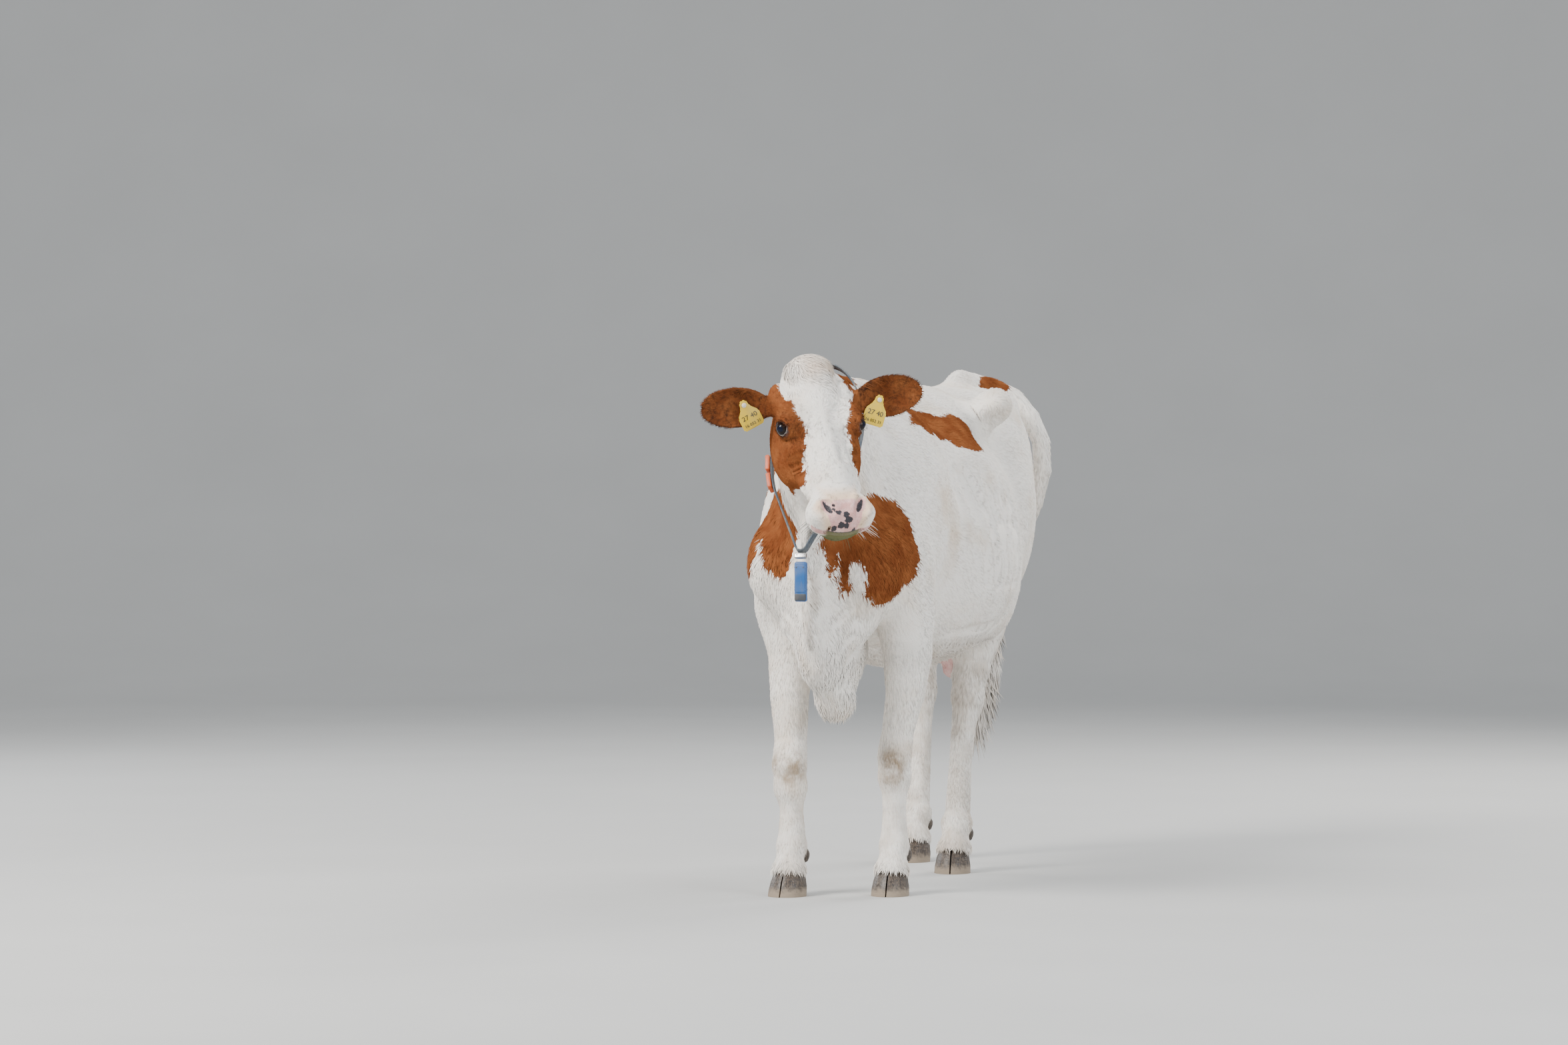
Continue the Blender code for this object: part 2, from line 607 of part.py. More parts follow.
def part_boxes():
    """Name, the cut's middle, the way in, and the box's width, height and length."""
    boxes = {}
    down = Vector((0, 0, -1))
    for side in EAR_TURNS:
        ear = ear_matrix(side)
        outward = ear.to_3x3() @ Vector((1, 0, 0))
        boxes["ear_" + side] = (ear @ Vector((0.024, 0, 0)), outward, (0.10, 0.13, 0.24))
    boxes["neck"] = (Vector((0, -0.150, 1.180)), Vector((0.0, -1.0, 0.42)), (0.50, 0.92, 0.60))
    for side, foot in FORE_FEET.items():
        out = 1 if side == "left" else -1
        boxes["fore_shin_" + side] = (Vector((foot[0], foot[1], 0.292)), down, (0.20, 0.30, 0.40))
        boxes["forearm_" + side] = (Vector((out * 0.190, 0.03, 0.612)), down, (0.23, 0.36, 0.42))
    for side, foot in HIND_FEET.items():
        out = 1 if side == "left" else -1
        hock_y = foot[1] + 0.085
        boxes["hind_shin_" + side] = (Vector((foot[0], hock_y, 0.420)), down, (0.19, 0.42, 0.50))
        boxes["gaskin_" + side] = (Vector((out * 0.165, hock_y + 0.03, 0.665)), down, (0.26, 0.36, 0.42))
    boxes["tail"] = (Vector((0.10, 1.292, 0.85)), Vector((0, 1, 0)), (0.60, 1.30, 0.20))
    boxes["udder"] = (Vector((0, 0.885, 0.602)), down, (0.24, 0.32, 0.14))
    return boxes


def trim_below_coronet(piece, foot):
    """Ends a shin at the sloping top of its claws."""
    shape = bmesh.new()
    shape.from_mesh(piece.data)
    middle, normal = coronet_plane(foot)
    everything = shape.verts[:] + shape.edges[:] + shape.faces[:]
    bmesh.ops.bisect_plane(shape, geom=everything, plane_co=middle + normal * GAP, plane_no=normal,
                           clear_inner=True)
    rim = [edge for edge in shape.edges if edge.is_boundary]
    bmesh.ops.holes_fill(shape, edges=rim, sides=0)
    bmesh.ops.triangulate(shape, faces=shape.faces)
    shape.to_mesh(piece.data)
    shape.free()


# ---------------------------------------------------------------- feet

def coronet_plane(foot):
    """The sloping plane where hair gives way to horn, higher in front."""
    x, y, _ = foot
    slope = math.radians(CORONET_SLOPE)
    normal = Vector((0, math.sin(slope), math.cos(slope)))
    return Vector((x, y - 0.060, CORONET_FRONT)), normal


def claw_mesh(foot, inner):
    """Half of a cloven foot: a rounded wedge with a flat sole and a flat side at the cleft."""
    x, y, toe_out = foot
    shape = bmesh.new()
    bmesh.ops.create_uvsphere(shape, u_segments=18, v_segments=12, radius=1.0)
    scale = Matrix.Diagonal((CLAW_WIDTH * 1.02, CLAW_LENGTH * 0.5, CLAW_HEIGHT * 1.25, 1.0))
    bmesh.ops.transform(shape, matrix=scale, verts=shape.verts)
    lean = math.tan(math.radians(28.0))
    for vertex in shape.verts:
        vertex.co.y += max(vertex.co.z, 0.0) * lean * 0.55
    side = -1 if inner else 1
    cleft = (Vector((side * CLAW_CLEFT * 0.5, 0, 0)), Vector((-side, 0, 0)))
    planes = [(Vector((0, 0, 0)), Vector((0, 0, -1))), cleft]
    for point, normal in planes:
        everything = shape.verts[:] + shape.edges[:] + shape.faces[:]
        bmesh.ops.bisect_plane(shape, geom=everything, plane_co=point, plane_no=normal, clear_outer=True)
        rim = [edge for edge in shape.edges if edge.is_boundary]
        bmesh.ops.holes_fill(shape, edges=rim, sides=0)
    place = Matrix.Translation((x, y - 0.038, 0.0)) @ Matrix.Rotation(math.radians(toe_out), 4, "Z")
    bmesh.ops.transform(shape, matrix=place, verts=shape.verts)
    middle, normal = coronet_plane(foot)
    everything = shape.verts[:] + shape.edges[:] + shape.faces[:]
    bmesh.ops.bisect_plane(shape, geom=everything, plane_co=middle, plane_no=normal, clear_outer=True)
    rim = [edge for edge in shape.edges if edge.is_boundary]
    bmesh.ops.holes_fill(shape, edges=rim, sides=0)
    bmesh.ops.triangulate(shape, faces=shape.faces)
    mesh = bpy.data.meshes.new("claw")
    shape.to_mesh(mesh)
    shape.free()
    return mesh


def add_claws(name, foot, material, collection):
    for label, inner in (("a", True), ("b", False)):
        object_from(f"claw_{name}_{label}", claw_mesh(foot, inner), collection, material)


def bud_mesh(place, by):
    radii = (DEWCLAW_RADIUS + by, DEWCLAW_RADIUS * 1.15 + by, DEWCLAW_RADIUS * 1.7 + by)
    matrix = place @ Matrix.Diagonal((*radii, 1.0))
    return mesh_from(lambda shape: bmesh.ops.create_uvsphere(
        shape, u_segments=8, v_segments=5, radius=1.0, matrix=matrix), "dewclaw")


def add_dewclaws(name, foot, shin, material, collection, cutters, hind):
    """Two small horn buds behind the fetlock, set into hollows in the hair."""
    x, y, _ = foot
    back = 0.056 if hind else 0.050
    for label, out in (("a", -1), ("b", 1)):
        place = Matrix.LocRotScale(Vector((x + out * 0.021, y + back, 0.100)), Euler((0.45, 0, 0)), None)
        bud_name = f"dewclaw_{name}_{label}"
        object_from(bud_name, bud_mesh(place, 0.0), collection, material)
        hollow = make_cutter(bud_name + "_hollow", bud_mesh(place, GAP), cutters)
        add_boolean(shin, hollow, "DIFFERENCE")
        baked(shin)


# ---------------------------------------------------------------- eyes

def add_eyes(head_piece, material, collection, cutters):
    for side, out in (("left", 1), ("right", -1)):
        place = head_matrix() @ Matrix.Translation((out * EYE_PLACE[0], EYE_PLACE[1], EYE_PLACE[2]))
        ball = mesh_from(lambda shape: bmesh.ops.create_uvsphere(
            shape, u_segments=12, v_segments=8, radius=EYE_RADIUS, matrix=place), "eye")
        object_from("eye_" + side, ball, collection, material)
        hollow = mesh_from(lambda shape: bmesh.ops.create_uvsphere(
            shape, u_segments=12, v_segments=8, radius=EYE_RADIUS + 2 * GAP, matrix=place), "eye_hollow")
        add_boolean(head_piece, make_cutter(f"eye_{side}_hollow", hollow, cutters), "DIFFERENCE")
        baked(head_piece)


# ---------------------------------------------------------------- collar

def hull(points):
    """The convex outline of points in a plane, in order."""
    ordered = sorted(points)
    chains = []
    for sequence in (ordered, ordered[::-1]):
        chain = []
        for point in sequence:
            while len(chain) > 1:
                ax, ay = chain[-1][0] - chain[-2][0], chain[-1][1] - chain[-2][1]
                bx, by = point[0] - chain[-2][0], point[1] - chain[-2][1]
                if ax * by - ay * bx > 0:
                    break
                chain.pop()
            chain.append(point)
        chains.append(chain[:-1])
    return chains[0] + chains[1]


def collar_frame():
    """The collar's plane: down runs from its middle to the clip, across runs to the cow's left."""
    centre = Vector(COLLAR_CENTRE)
    down = (Vector(COLLAR_CLIP) - centre).normalized()
    across = Vector((1, 0, 0))
    across = (across - down * across.dot(down)).normalized()
    return centre, across, down


def strap_route(parts):
    """Follows the neck all round, then hangs taut to the clip, as a loose strap does."""
    centre, across, down = collar_frame()
    rays = [2.0 * math.pi * index / 90 for index in range(90)]
    reach = np.full(len(rays), 0.30)
    ways = np.array([across * math.cos(angle) + down * math.sin(angle) for angle in rays])
    for _ in range(60):
        points = np.array(centre) + ways * reach[:, None]
        over = form_distance(points, parts) - STRAP_CLEARANCE - 0.5 * STRAP_THICKNESS
        reach = reach - np.clip(0.6 * over, -0.01, 0.01)
    outline = [(r * math.cos(angle), r * math.sin(angle)) for r, angle in zip(reach, rays)]
    clip_reach = (Vector(COLLAR_CLIP) - centre).length
    outline += [(-0.009, clip_reach), (0.009, clip_reach)]
    ring = np.array(hull(outline))
    closed = np.vstack([ring, ring[:1]])
    lengths = np.concatenate([[0], np.cumsum(np.linalg.norm(np.diff(closed, axis=0), axis=1))])
    stations = np.arange(COLLAR_STATIONS) * lengths[-1] / COLLAR_STATIONS
    flat = np.stack([np.interp(stations, lengths, closed[:, axis]) for axis in range(2)], axis=1)
    return [centre + across * u + down * v for u, v in flat]


def strap_mesh(route):
    """Sweeps the strap's flat section along its closed route."""
    centre, across, down = collar_frame()
    axis = across.cross(down)
    shape = bmesh.new()
    rings = []
    count = len(route)
    for index, point in enumerate(route):
        along = (route[(index + 1) % count] - route[index - 1]).normalized()
        outward = along.cross(axis).normalized()
        deep = outward * (STRAP_THICKNESS / 2)
        wide = axis * (STRAP_WIDTH / 2)
        corners = [point - deep - wide, point + deep - wide, point + deep + wide, point - deep + wide]
        rings.append([shape.verts.new(corner) for corner in corners])
    for first, second in zip(rings, rings[1:] + rings[:1]):
        for corner in range(4):
            following = (corner + 1) % 4
            shape.faces.new((first[corner], first[following], second[following], second[corner]))
    bmesh.ops.recalc_face_normals(shape, faces=shape.faces)
    mesh = bpy.data.meshes.new("strap")
    shape.to_mesh(mesh)
    shape.free()
    return mesh


def bevelled_box(name, size, matrix, radius, material, collection):
    mesh = mesh_from(lambda shape: bmesh.ops.create_cube(
        shape, size=1.0, matrix=Matrix.Diagonal((*size, 1.0))), name)
    obj = object_from(name, mesh, collection, material)
    obj.matrix_world = matrix
    bevel = obj.modifiers.new("edges", "BEVEL")
    bevel.width = radius
    bevel.segments = 1
    bevel.limit_method = "ANGLE"
    return obj


def add_collar(parts, materials, collection):
    route = strap_route(parts)
    object_from("collar_strap", strap_mesh(route), collection, materials["strap"], smooth=False)
    centre, across, down = collar_frame()
    axis = across.cross(down)
    clip = Vector(COLLAR_CLIP)
    frame = Matrix((across, -axis, -down)).transposed().to_4x4()
    hang = Matrix.Translation(clip + Vector((0, -0.002, -0.030)))
    clip_place = Matrix.Translation(clip + down * 0.0115) @ frame
    box_place = hang @ Matrix.Translation((0, 0, -0.045))
    bevelled_box("collar_clip", (0.030, 0.010, 0.014), clip_place, 0.002, materials["steel"], collection)
    bevelled_box("collar_transponder", (0.031, 0.020, 0.100), box_place, 0.004, materials["box"], collection)
    right_side = sorted((point for point in route if point.x < 0.0), key=lambda point: point.z)
    heights = [point.z for point in right_side]
    outer = (STRAP_THICKNESS + BLOCK_SIZE[1]) / 2 + 3 * GAP
    for label, height in BLOCK_HEIGHTS.items():
        above = next(index for index, z in enumerate(heights) if z > height)
        step = right_side[above] - right_side[above - 1]
        point = right_side[above - 1] + step * (height - heights[above - 1]) / step.z
        along = (right_side[above + 1] - right_side[above - 2]).normalized()
        outward = along.cross(axis).normalized()
        if outward.x > 0:
            outward = -outward
        turn = Matrix((axis, outward, along)).transposed().to_4x4()
        place = Matrix.Translation(point + outward * outer) @ turn
        bevelled_box("collar_block_" + label, BLOCK_SIZE, place, 0.002, materials["block"], collection)


# ---------------------------------------------------------------- ear tags

def tag_outline(width, height, neck):
    """A plate that narrows to a neck at the top, round the stud."""
    return [(-width / 2, -height), (width / 2, -height), (width / 2, -height * 0.42), (neck, -height * 0.12),
            (neck * 0.8, neck * 0.8), (0, neck * 1.15), (-neck * 0.8, neck * 0.8), (-neck, -height * 0.12),
            (-width / 2, -height * 0.42)]


def plate_mesh(outline, name):
    """A flat outline with rounded corners, thickened."""
    shape = bmesh.new()
    corners = [shape.verts.new((x, y, 0.0)) for x, y in outline]
    face = shape.faces.new(corners)
    bmesh.ops.bevel(shape, geom=corners, offset=0.0035, segments=2, affect="VERTICES")
    pushed = bmesh.ops.extrude_face_region(shape, geom=list(shape.faces))
    moved = [item for item in pushed["geom"] if isinstance(item, bmesh.types.BMVert)]
    bmesh.ops.translate(shape, vec=(0, 0, TAG_THICKNESS), verts=moved)
    bmesh.ops.recalc_face_normals(shape, faces=shape.faces)
    mesh = bpy.data.meshes.new(name)
    shape.to_mesh(mesh)
    shape.free()
    return mesh


def stand_off(spot, across, up, way, outline, parts, reach=0.08):
    """How far along way a plate lies from a spot when it just clears the ear all over its outline."""
    shape = np.array(outline)
    samples = np.vstack([shape * share for share in (0.0, 0.35, 0.7, 1.0)])
    starts = np.array(spot + way * reach) + samples[:, :1] * np.array(across) + samples[:, 1:] * np.array(up)
    travelled = np.zeros(len(starts))
    for _ in range(60):
        points = starts - travelled[:, None] * np.array(way)
        travelled += np.maximum(form_distance(points, parts) * 0.6, 0.0)
    met = travelled[travelled < 1.6 * reach]
    return reach - met.min()


def add_plate(name, outline, spot, across, up, way, parts, material, collection):
    """A plate lying over the ear, and the height of its inner face along way."""
    height = stand_off(spot, across, up, way, outline, parts) + TAG_CLEARANCE
    plate = object_from(name, plate_mesh(outline, name), collection, material, smooth=False)
    frame = Matrix((across, up, way)).transposed().to_4x4()
    plate.matrix_world = Matrix.Translation(spot + way * height) @ frame
    return height


def add_cylinder(name, radii, start, end, material, collection, segments=12):
    axis = end - start
    turn = axis.to_track_quat("Z", "Y").to_matrix().to_4x4()
    matrix = Matrix.Translation((start + end) * 0.5) @ turn
    mesh = mesh_from(lambda shape: bmesh.ops.create_cone(
        shape, cap_ends=True, segments=segments, radius1=radii[0], radius2=radii[1], depth=axis.length,
        matrix=matrix), name)
    return object_from(name, mesh, collection, material)


def add_tag(side, place, ear_piece, parts, materials, collection, cutters):
    """A plate in front of the ear, a smaller one behind it and the stud that joins them through the ear."""
    ear = ear_matrix(side)
    front_way = (ear.to_3x3() @ Vector((0, 0, 1))).normalized()
    spot = ear @ Vector((place[0], place[1], 0))
    upright = Vector((0, 0, 1))
    up = (upright - front_way * upright.dot(front_way)).normalized()
    across = up.cross(front_way)
    yellow = materials["tag"]
    white = materials["stud"]
    tilt = Matrix.Rotation(math.radians(TAG_TILTS[side]), 3, front_way)
    front = add_plate("ear_tag_" + side, tag_outline(0.056, 0.066, 0.012), spot, tilt @ across, tilt @ up,
                      front_way, parts, yellow, collection)
    back = add_plate("ear_tag_back_" + side, tag_outline(0.040, 0.048, 0.011), spot, -across, up, -front_way,
                     parts, yellow, collection)
    stem_start = spot - front_way * (back - GAP)
    stem_end = spot + front_way * (front - GAP)
    stem_radii = (STUD_RADIUS, STUD_RADIUS)
    add_cylinder("ear_tag_stem_" + side, stem_radii, stem_start, stem_end, white, collection)
    cap_start = spot + front_way * (front + TAG_THICKNESS + GAP)
    cap_end = cap_start + front_way * 0.004
    add_cylinder("ear_tag_stud_" + side, (0.0065, 0.0035), cap_start, cap_end, white, collection, segments=16)
    hole_radius = STUD_RADIUS + 2 * GAP
    hole = add_cylinder(f"ear_tag_{side}_hole", (hole_radius, hole_radius), stem_start, stem_end, None, cutters)
    hole.hide_render = True
    hole.display_type = "WIRE"
    add_boolean(ear_piece, hole, "DIFFERENCE")
    baked(ear_piece)


# ---------------------------------------------------------------- putting it together

def make_materials():
    return {
        "hide": make_material("hide", WHITE_HAIR, 0.75),
        "rust": make_material("rust_hide", RUST_HAIR, 0.72),
        "horn": make_material("horn", HORN, 0.45),
        "eye": make_material("eye", EYE_DARK, 0.06),
        "strap": make_material("strap", STRAP_GREY, 0.65),
        "box": make_material("transponder", BOX_BLUE, 0.40),
        "block": make_material("number_block", BLOCK_ORANGE, 0.45),
        "tag": make_material("ear_tag", TAG_YELLOW, 0.42),
        "stud": make_material("ear_tag_stud", WHITE_HAIR, 0.40),
        "steel": make_material("clip_steel", STEEL, 0.35, 1.0),
    }


def rest_at_origin(collection):
    """Puts the middle of the model's box over the origin, with its soles at zero."""
    bpy.context.view_layer.update()
    corners = np.array([obj.matrix_world @ vertex.co
                        for obj in collection.objects for vertex in obj.data.vertices])
    low = corners.min(axis=0)
    high = corners.max(axis=0)
    shift = Matrix.Translation((-(low[0] + high[0]) / 2, -(low[1] + high[1]) / 2, -low[2]))
    for obj in bpy.data.objects:
        obj.matrix_world = shift @ obj.matrix_world


def main():
    clear_scene()
    collection = make_collection(COLLECTION)
    cutters = make_collection(CUTTERS)
    materials = make_materials()
    parts = whole_body()
    body = body_surface(parts, cutters)
    pieces = {}
    for name, (middle, inward, size) in part_boxes().items():
        up = (0, 1, 0) if abs(Vector(inward).normalized().z) > 0.8 else (0, 0, 1)
        skin = materials["rust"] if name.startswith("ear_") else materials["hide"]
        matrix = box_matrix(middle, inward, size, up)
        inside = box_cutter(name + "_inside", matrix, cutters)
        outside = box_cutter(name + "_outside", grown(matrix, GAP), cutters)
        if name == "neck":
            head_inside = head_cutter("head_inside", 0.0, cutters)
            head_outside = head_cutter("head_outside", GAP, cutters)
            pieces["head"] = part_off(body, "head", head_inside, head_outside, materials["hide"], collection)
        pieces[name] = part_off(body, name, inside, outside, skin, collection)
    trunk = object_from("trunk", body.data.copy(), collection, materials["hide"])
    largest_piece(trunk.data)
    bpy.data.objects.remove(body, do_unlink=True)
    for leg, feet, hind in (("fore", FORE_FEET, False), ("hind", HIND_FEET, True)):
        for side, foot in feet.items():
            shin = pieces[f"{leg}_shin_{side}"]
            trim_below_coronet(shin, foot)
            add_claws(f"{leg}_{side}", foot, materials["horn"], collection)
            add_dewclaws(f"{leg}_{side}", foot, shin, materials["horn"], collection, cutters, hind)
    add_eyes(pieces["head"], materials["eye"], collection, cutters)
    add_collar(parts, materials, collection)
    for side, spot in TAG_SPOTS.items():
        add_tag(side, spot, pieces["ear_" + side], parts, materials, collection, cutters)
    rest_at_origin(collection)


main()
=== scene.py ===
"""The looks of the red-and-white heifer: skin and markings, coat of tufts, eyes, claws, collar and tags."""

import json
import math
from math import cos, pi, radians, sin

import bmesh
import bpy
import numpy as np
from mathutils import Euler, Matrix, Vector

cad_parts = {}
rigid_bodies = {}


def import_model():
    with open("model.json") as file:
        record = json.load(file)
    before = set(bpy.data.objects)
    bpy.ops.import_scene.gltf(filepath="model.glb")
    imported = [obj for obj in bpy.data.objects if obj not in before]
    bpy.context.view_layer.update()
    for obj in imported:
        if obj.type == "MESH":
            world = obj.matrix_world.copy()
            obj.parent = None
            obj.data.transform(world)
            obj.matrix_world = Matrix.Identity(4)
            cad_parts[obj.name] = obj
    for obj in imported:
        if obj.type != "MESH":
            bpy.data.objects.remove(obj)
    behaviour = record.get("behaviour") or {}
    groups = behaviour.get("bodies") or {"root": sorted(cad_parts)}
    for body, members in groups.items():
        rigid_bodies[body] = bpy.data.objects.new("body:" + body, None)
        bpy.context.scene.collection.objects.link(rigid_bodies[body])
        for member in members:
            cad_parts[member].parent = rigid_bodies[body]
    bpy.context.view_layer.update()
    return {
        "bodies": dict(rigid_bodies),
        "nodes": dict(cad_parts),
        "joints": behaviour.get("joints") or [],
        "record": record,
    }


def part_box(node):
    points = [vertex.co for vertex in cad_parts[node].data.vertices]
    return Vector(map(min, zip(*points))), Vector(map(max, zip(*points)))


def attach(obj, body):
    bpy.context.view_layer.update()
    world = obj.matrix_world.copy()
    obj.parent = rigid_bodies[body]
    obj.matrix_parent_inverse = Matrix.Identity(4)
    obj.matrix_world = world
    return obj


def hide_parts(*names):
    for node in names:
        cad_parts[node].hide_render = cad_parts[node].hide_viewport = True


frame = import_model()

SEED = 7

# ---------------- sizes shared with the solids
# The body's own frame has its origin between the two fore feet; the cow faces -Y and its left is +X.

WITHERS = 1.325
TAILHEAD = 1.365
BELLY_FLOOR = 0.568
HALF_BARREL = 0.315
HOOK_PLACE = (0.198, 0.79, 1.258)
PIN_PLACE = (0.118, 1.215, 1.262)
SPAN_MARGIN = 0.08

POLL_PLACE = (0.041, -0.425, 1.372)
HEAD_YAW = 36.0
HEAD_PITCH = 52.0
HEAD_ROLL = -5.0
EYE_PLACE = (0.0945, -0.178, -0.041)
EYE_RADIUS = 0.0195
GAZE_OUTWARD = 14.0
NOSTRIL_PLACE = (0.038, -0.437, -0.015)
NOSTRIL_RADII = (0.0092, 0.0240, 0.0140)
NOSTRIL_TURN = (0, -15, -28)
MOUTH_HEIGHT = -0.075
HEAD_CUT = [(-0.62, -0.30), (-0.300, -0.268), (-0.200, -0.243), (-0.105, -0.200), (-0.035, -0.125),
            (0.035, -0.015), (0.075, 0.12), (0.20, 0.50)]

EAR_LENGTH = 0.196
EAR_HALF_WIDTH = 0.053
EAR_BASE = (0.095, -0.095, -0.060)
EAR_TURNS = {"left": (42.0, -4.0, 5.0), "right": (54.0, 0.0, 2.0)}

FORE_FEET = {"left": (0.128, 0.045, 4.0), "right": (-0.121, -0.045, -4.0)}
FOREARM_SPREAD = {"left": 0.036, "right": 0.014}
HIND_FEET = {"left": (0.100, 0.760, 8.0), "right": (-0.104, 1.085, -9.0)}
CLAW_LENGTH = 0.112
CLAW_WIDTH = 0.048
CLAW_HEIGHT = 0.074
CLAW_CLEFT = 0.004
CLAW_LEAN = 28.0
CORONET_FRONT = 0.068
CORONET_SLOPE = 16.0
DEWCLAW_RADIUS = 0.0125

STRAP_WIDTH = 0.024
STRAP_THICKNESS = 0.004
STRAP_CLEARANCE = 0.011
COLLAR_CENTRE = (0.012, -0.300, 1.120)
COLLAR_CLIP = (0.020, -0.425, 0.894)
BLOCK_SIZE = (0.034, 0.011, 0.042)
TAG_FRONT = (0.056, 0.066, 0.012)
TAG_BACK = (0.040, 0.048, 0.011)
TAG_THICKNESS = 0.002
TAG_TILTS = {"left": -16.0, "right": 30.0}
STUD_HALF = 0.002
FIT_GAP = 0.0003

# ---------------- sizes of the skin and coat

VOXEL = 0.0105
COAT_DEPTH = 0.0035
FACE_DEPTH = 0.0016
HEAD_CUTS = 2
TUFT_SHARE = 1.0
TUFTS_PER_AREA = 23000.0
WHISKERS = 64
TUFT_PATCH = 0.003
PIECE_LIMIT = 190000
EYE_OPENING = (0.0176, 0.0136, 0.0200)
BARE_LIDS = (0.0240, 0.0185)
DARK_LIDS = (0.0258, 0.0205)
PAD_MIDDLE = (0.0, -0.45, -0.06)
LIP_MIDDLE = (0.0, -0.45, -0.10)
TEATS = [(x, y) for x in (-0.042, 0.042) for y in (0.850, 0.925)]

# The solids that the one skin stands for, and the parts of the coat in the order of region_of.
FLESH = ["trunk", "neck", "head", "ear_left", "ear_right", "tail", "udder"]
FLESH += [f"{part}_{side}" for part in ("forearm", "fore_shin", "gaskin", "hind_shin")
          for side in ("left", "right")]
REGION_NAMES = ("front_left", "front_right", "rear_left", "rear_right",
                "forelegs", "hindlegs", "head_left", "head_right")

# Longer hair: locks to the square metre, length, width, lift, droop, spread of the ways and seed.
LOCKS = {
    "topknot": (130000, 0.030, 0.0030, 0.0020, 0.10, 0.22, 21),
    "ear_rim_left": (90000, 0.0080, 0.0014, 0.0008, 0.10, 0.25, 31),
    "ear_rim_right": (90000, 0.0080, 0.0014, 0.0008, 0.10, 0.25, 32),
    "ear_hollow_left": (50000, 0.020, 0.0014, 0.0025, 0.10, 0.4, 35),
    "ear_hollow_right": (50000, 0.020, 0.0014, 0.0025, 0.10, 0.4, 36),
    "tail_switch": (30000, 0.085, 0.0055, 0.006, 0.0, 0.22, 41),
    "brisket": (9000, 0.026, 0.0034, 0.003, 0.15, 0.3, 51),
    "fetlocks": (42000, 0.019, 0.0028, 0.0016, 0.10, 0.3, 61),
    "belly": (7000, 0.026, 0.0034, 0.0045, 0.05, 0.3, 71),
}

# ---------------- the camera

CAMERA_TURN = 17.0
CAMERA_HEIGHT = 1.22
CAMERA_DISTANCE = 13.72
CAMERA_ASIDE = 0.148
CAMERA_LENS = 122.45
CAMERA_PITCH = 1.09

# ---------------- colours (linear)

WHITE_HAIR = (0.87, 0.825, 0.76)
CREAM_HAIR = (0.72, 0.60, 0.47)
RUST_HAIR = (0.190, 0.058, 0.020)
RUST_LIGHT = (0.30, 0.105, 0.036)
DARK_HAIR = (0.050, 0.022, 0.013)
DIRT = (0.30, 0.205, 0.12)
CHEWED_GRASS = (0.080, 0.092, 0.020)
PINK_SKIN = (0.60, 0.31, 0.28)
PEACH_HAIR = (0.76, 0.50, 0.31)
# Black skin of the muzzle and lids, also used as painted shade inside the nostrils and along the mouth's
# line.
BLACK_SKIN_AND_SHADE = (0.020, 0.016, 0.022)
STRAP_BLUE = (0.060, 0.085, 0.115)
BOX_BLUE = (0.012, 0.095, 0.30)
BLOCK_ORANGE = (0.56, 0.085, 0.010)
TAG_YELLOW = (0.78, 0.52, 0.004)
TAG_INK = (0.012, 0.012, 0.014)

# The muzzle's dark blotches: aside and down the pad, then half width and half height.
PAD_BLOTCHES = [
    (-0.027, 0.019, 0.0032, 0.0035), (-0.028, 0.029, 0.0040, 0.0036), (-0.017, 0.036, 0.0080, 0.0055),
    (0.003, 0.043, 0.0075, 0.0085), (0.0085, 0.056, 0.0105, 0.0088), (-0.0095, 0.069, 0.0088, 0.0095),
    (0.004, 0.071, 0.0065, 0.0085), (-0.027, 0.077, 0.0072, 0.0075), (-0.038, 0.077, 0.0042, 0.0055),
    (0.0245, 0.085, 0.0050, 0.0085),
]


# ================ the form, as in the solids

def turned(degrees):
    return Euler([radians(angle) for angle in degrees]).to_matrix()


def head_matrix():
    yaw = Matrix.Rotation(radians(HEAD_YAW), 4, "Z")
    pitch = Matrix.Rotation(radians(HEAD_PITCH), 4, "X")
    roll = Matrix.Rotation(radians(HEAD_ROLL), 4, "Y")
    return Matrix.Translation(POLL_PLACE) @ yaw @ pitch @ roll


def ear_matrix(side):
    """The left ear's frame is set in the head's, and the right ear's is its mirror image."""
    place = Matrix.LocRotScale(Vector(EAR_BASE), turned(EAR_TURNS[side]).to_quaternion(), None)
    if side == "right":
        place = Matrix.Diagonal((-1, 1, 1, 1)) @ place @ Matrix.Diagonal((1, -1, 1, 1))
    return head_matrix() @ place


HEAD = head_matrix()
EARS = {side: ear_matrix(side) for side in EAR_TURNS}
eye_low, eye_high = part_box("eye_left")
SHIFT = (Vector(eye_low) + Vector(eye_high)) / 2 - HEAD @ Vector(EYE_PLACE)


def node_box(node):
    """The low and high corners of a solid, in the body's own frame."""
    return [np.array(corner) - np.array(SHIFT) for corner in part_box(node)]


def node_middle(node):
    low, high = node_box(node)
    return Vector((low + high) / 2)


def mass(centre, radii, turn=(0, 0, 0), blend=0.03, carve=False):
    """An ellipsoid of flesh or bone. A carved one is taken away from what stands before it."""
    place = Matrix.LocRotScale(Vector(centre), turned(turn), None)
    return {"kind": "mass", "place": place, "radii": radii, "blend": blend, "carve": carve}


def pair(centre, radii, turn=(0, 0, 0), blend=0.03, carve=False):
    """The same mass on the left and, mirrored, on the right."""
    mirrored_centre = (-centre[0], centre[1], centre[2])
    mirrored_turn = (turn[0], -turn[1], -turn[2])
    mirrored = mass(mirrored_centre, radii, mirrored_turn, blend, carve)
    return [mass(centre, radii, turn, blend, carve), mirrored]


def limb(joints, blend=0.02, carve=False):
    """A tapered round limb through joints of (x, y, z, radius)."""
    points = [(*Vector(joint[:3]), joint[3]) for joint in joints]
    return {"kind": "limb", "joints": points, "blend": blend, "carve": carve}


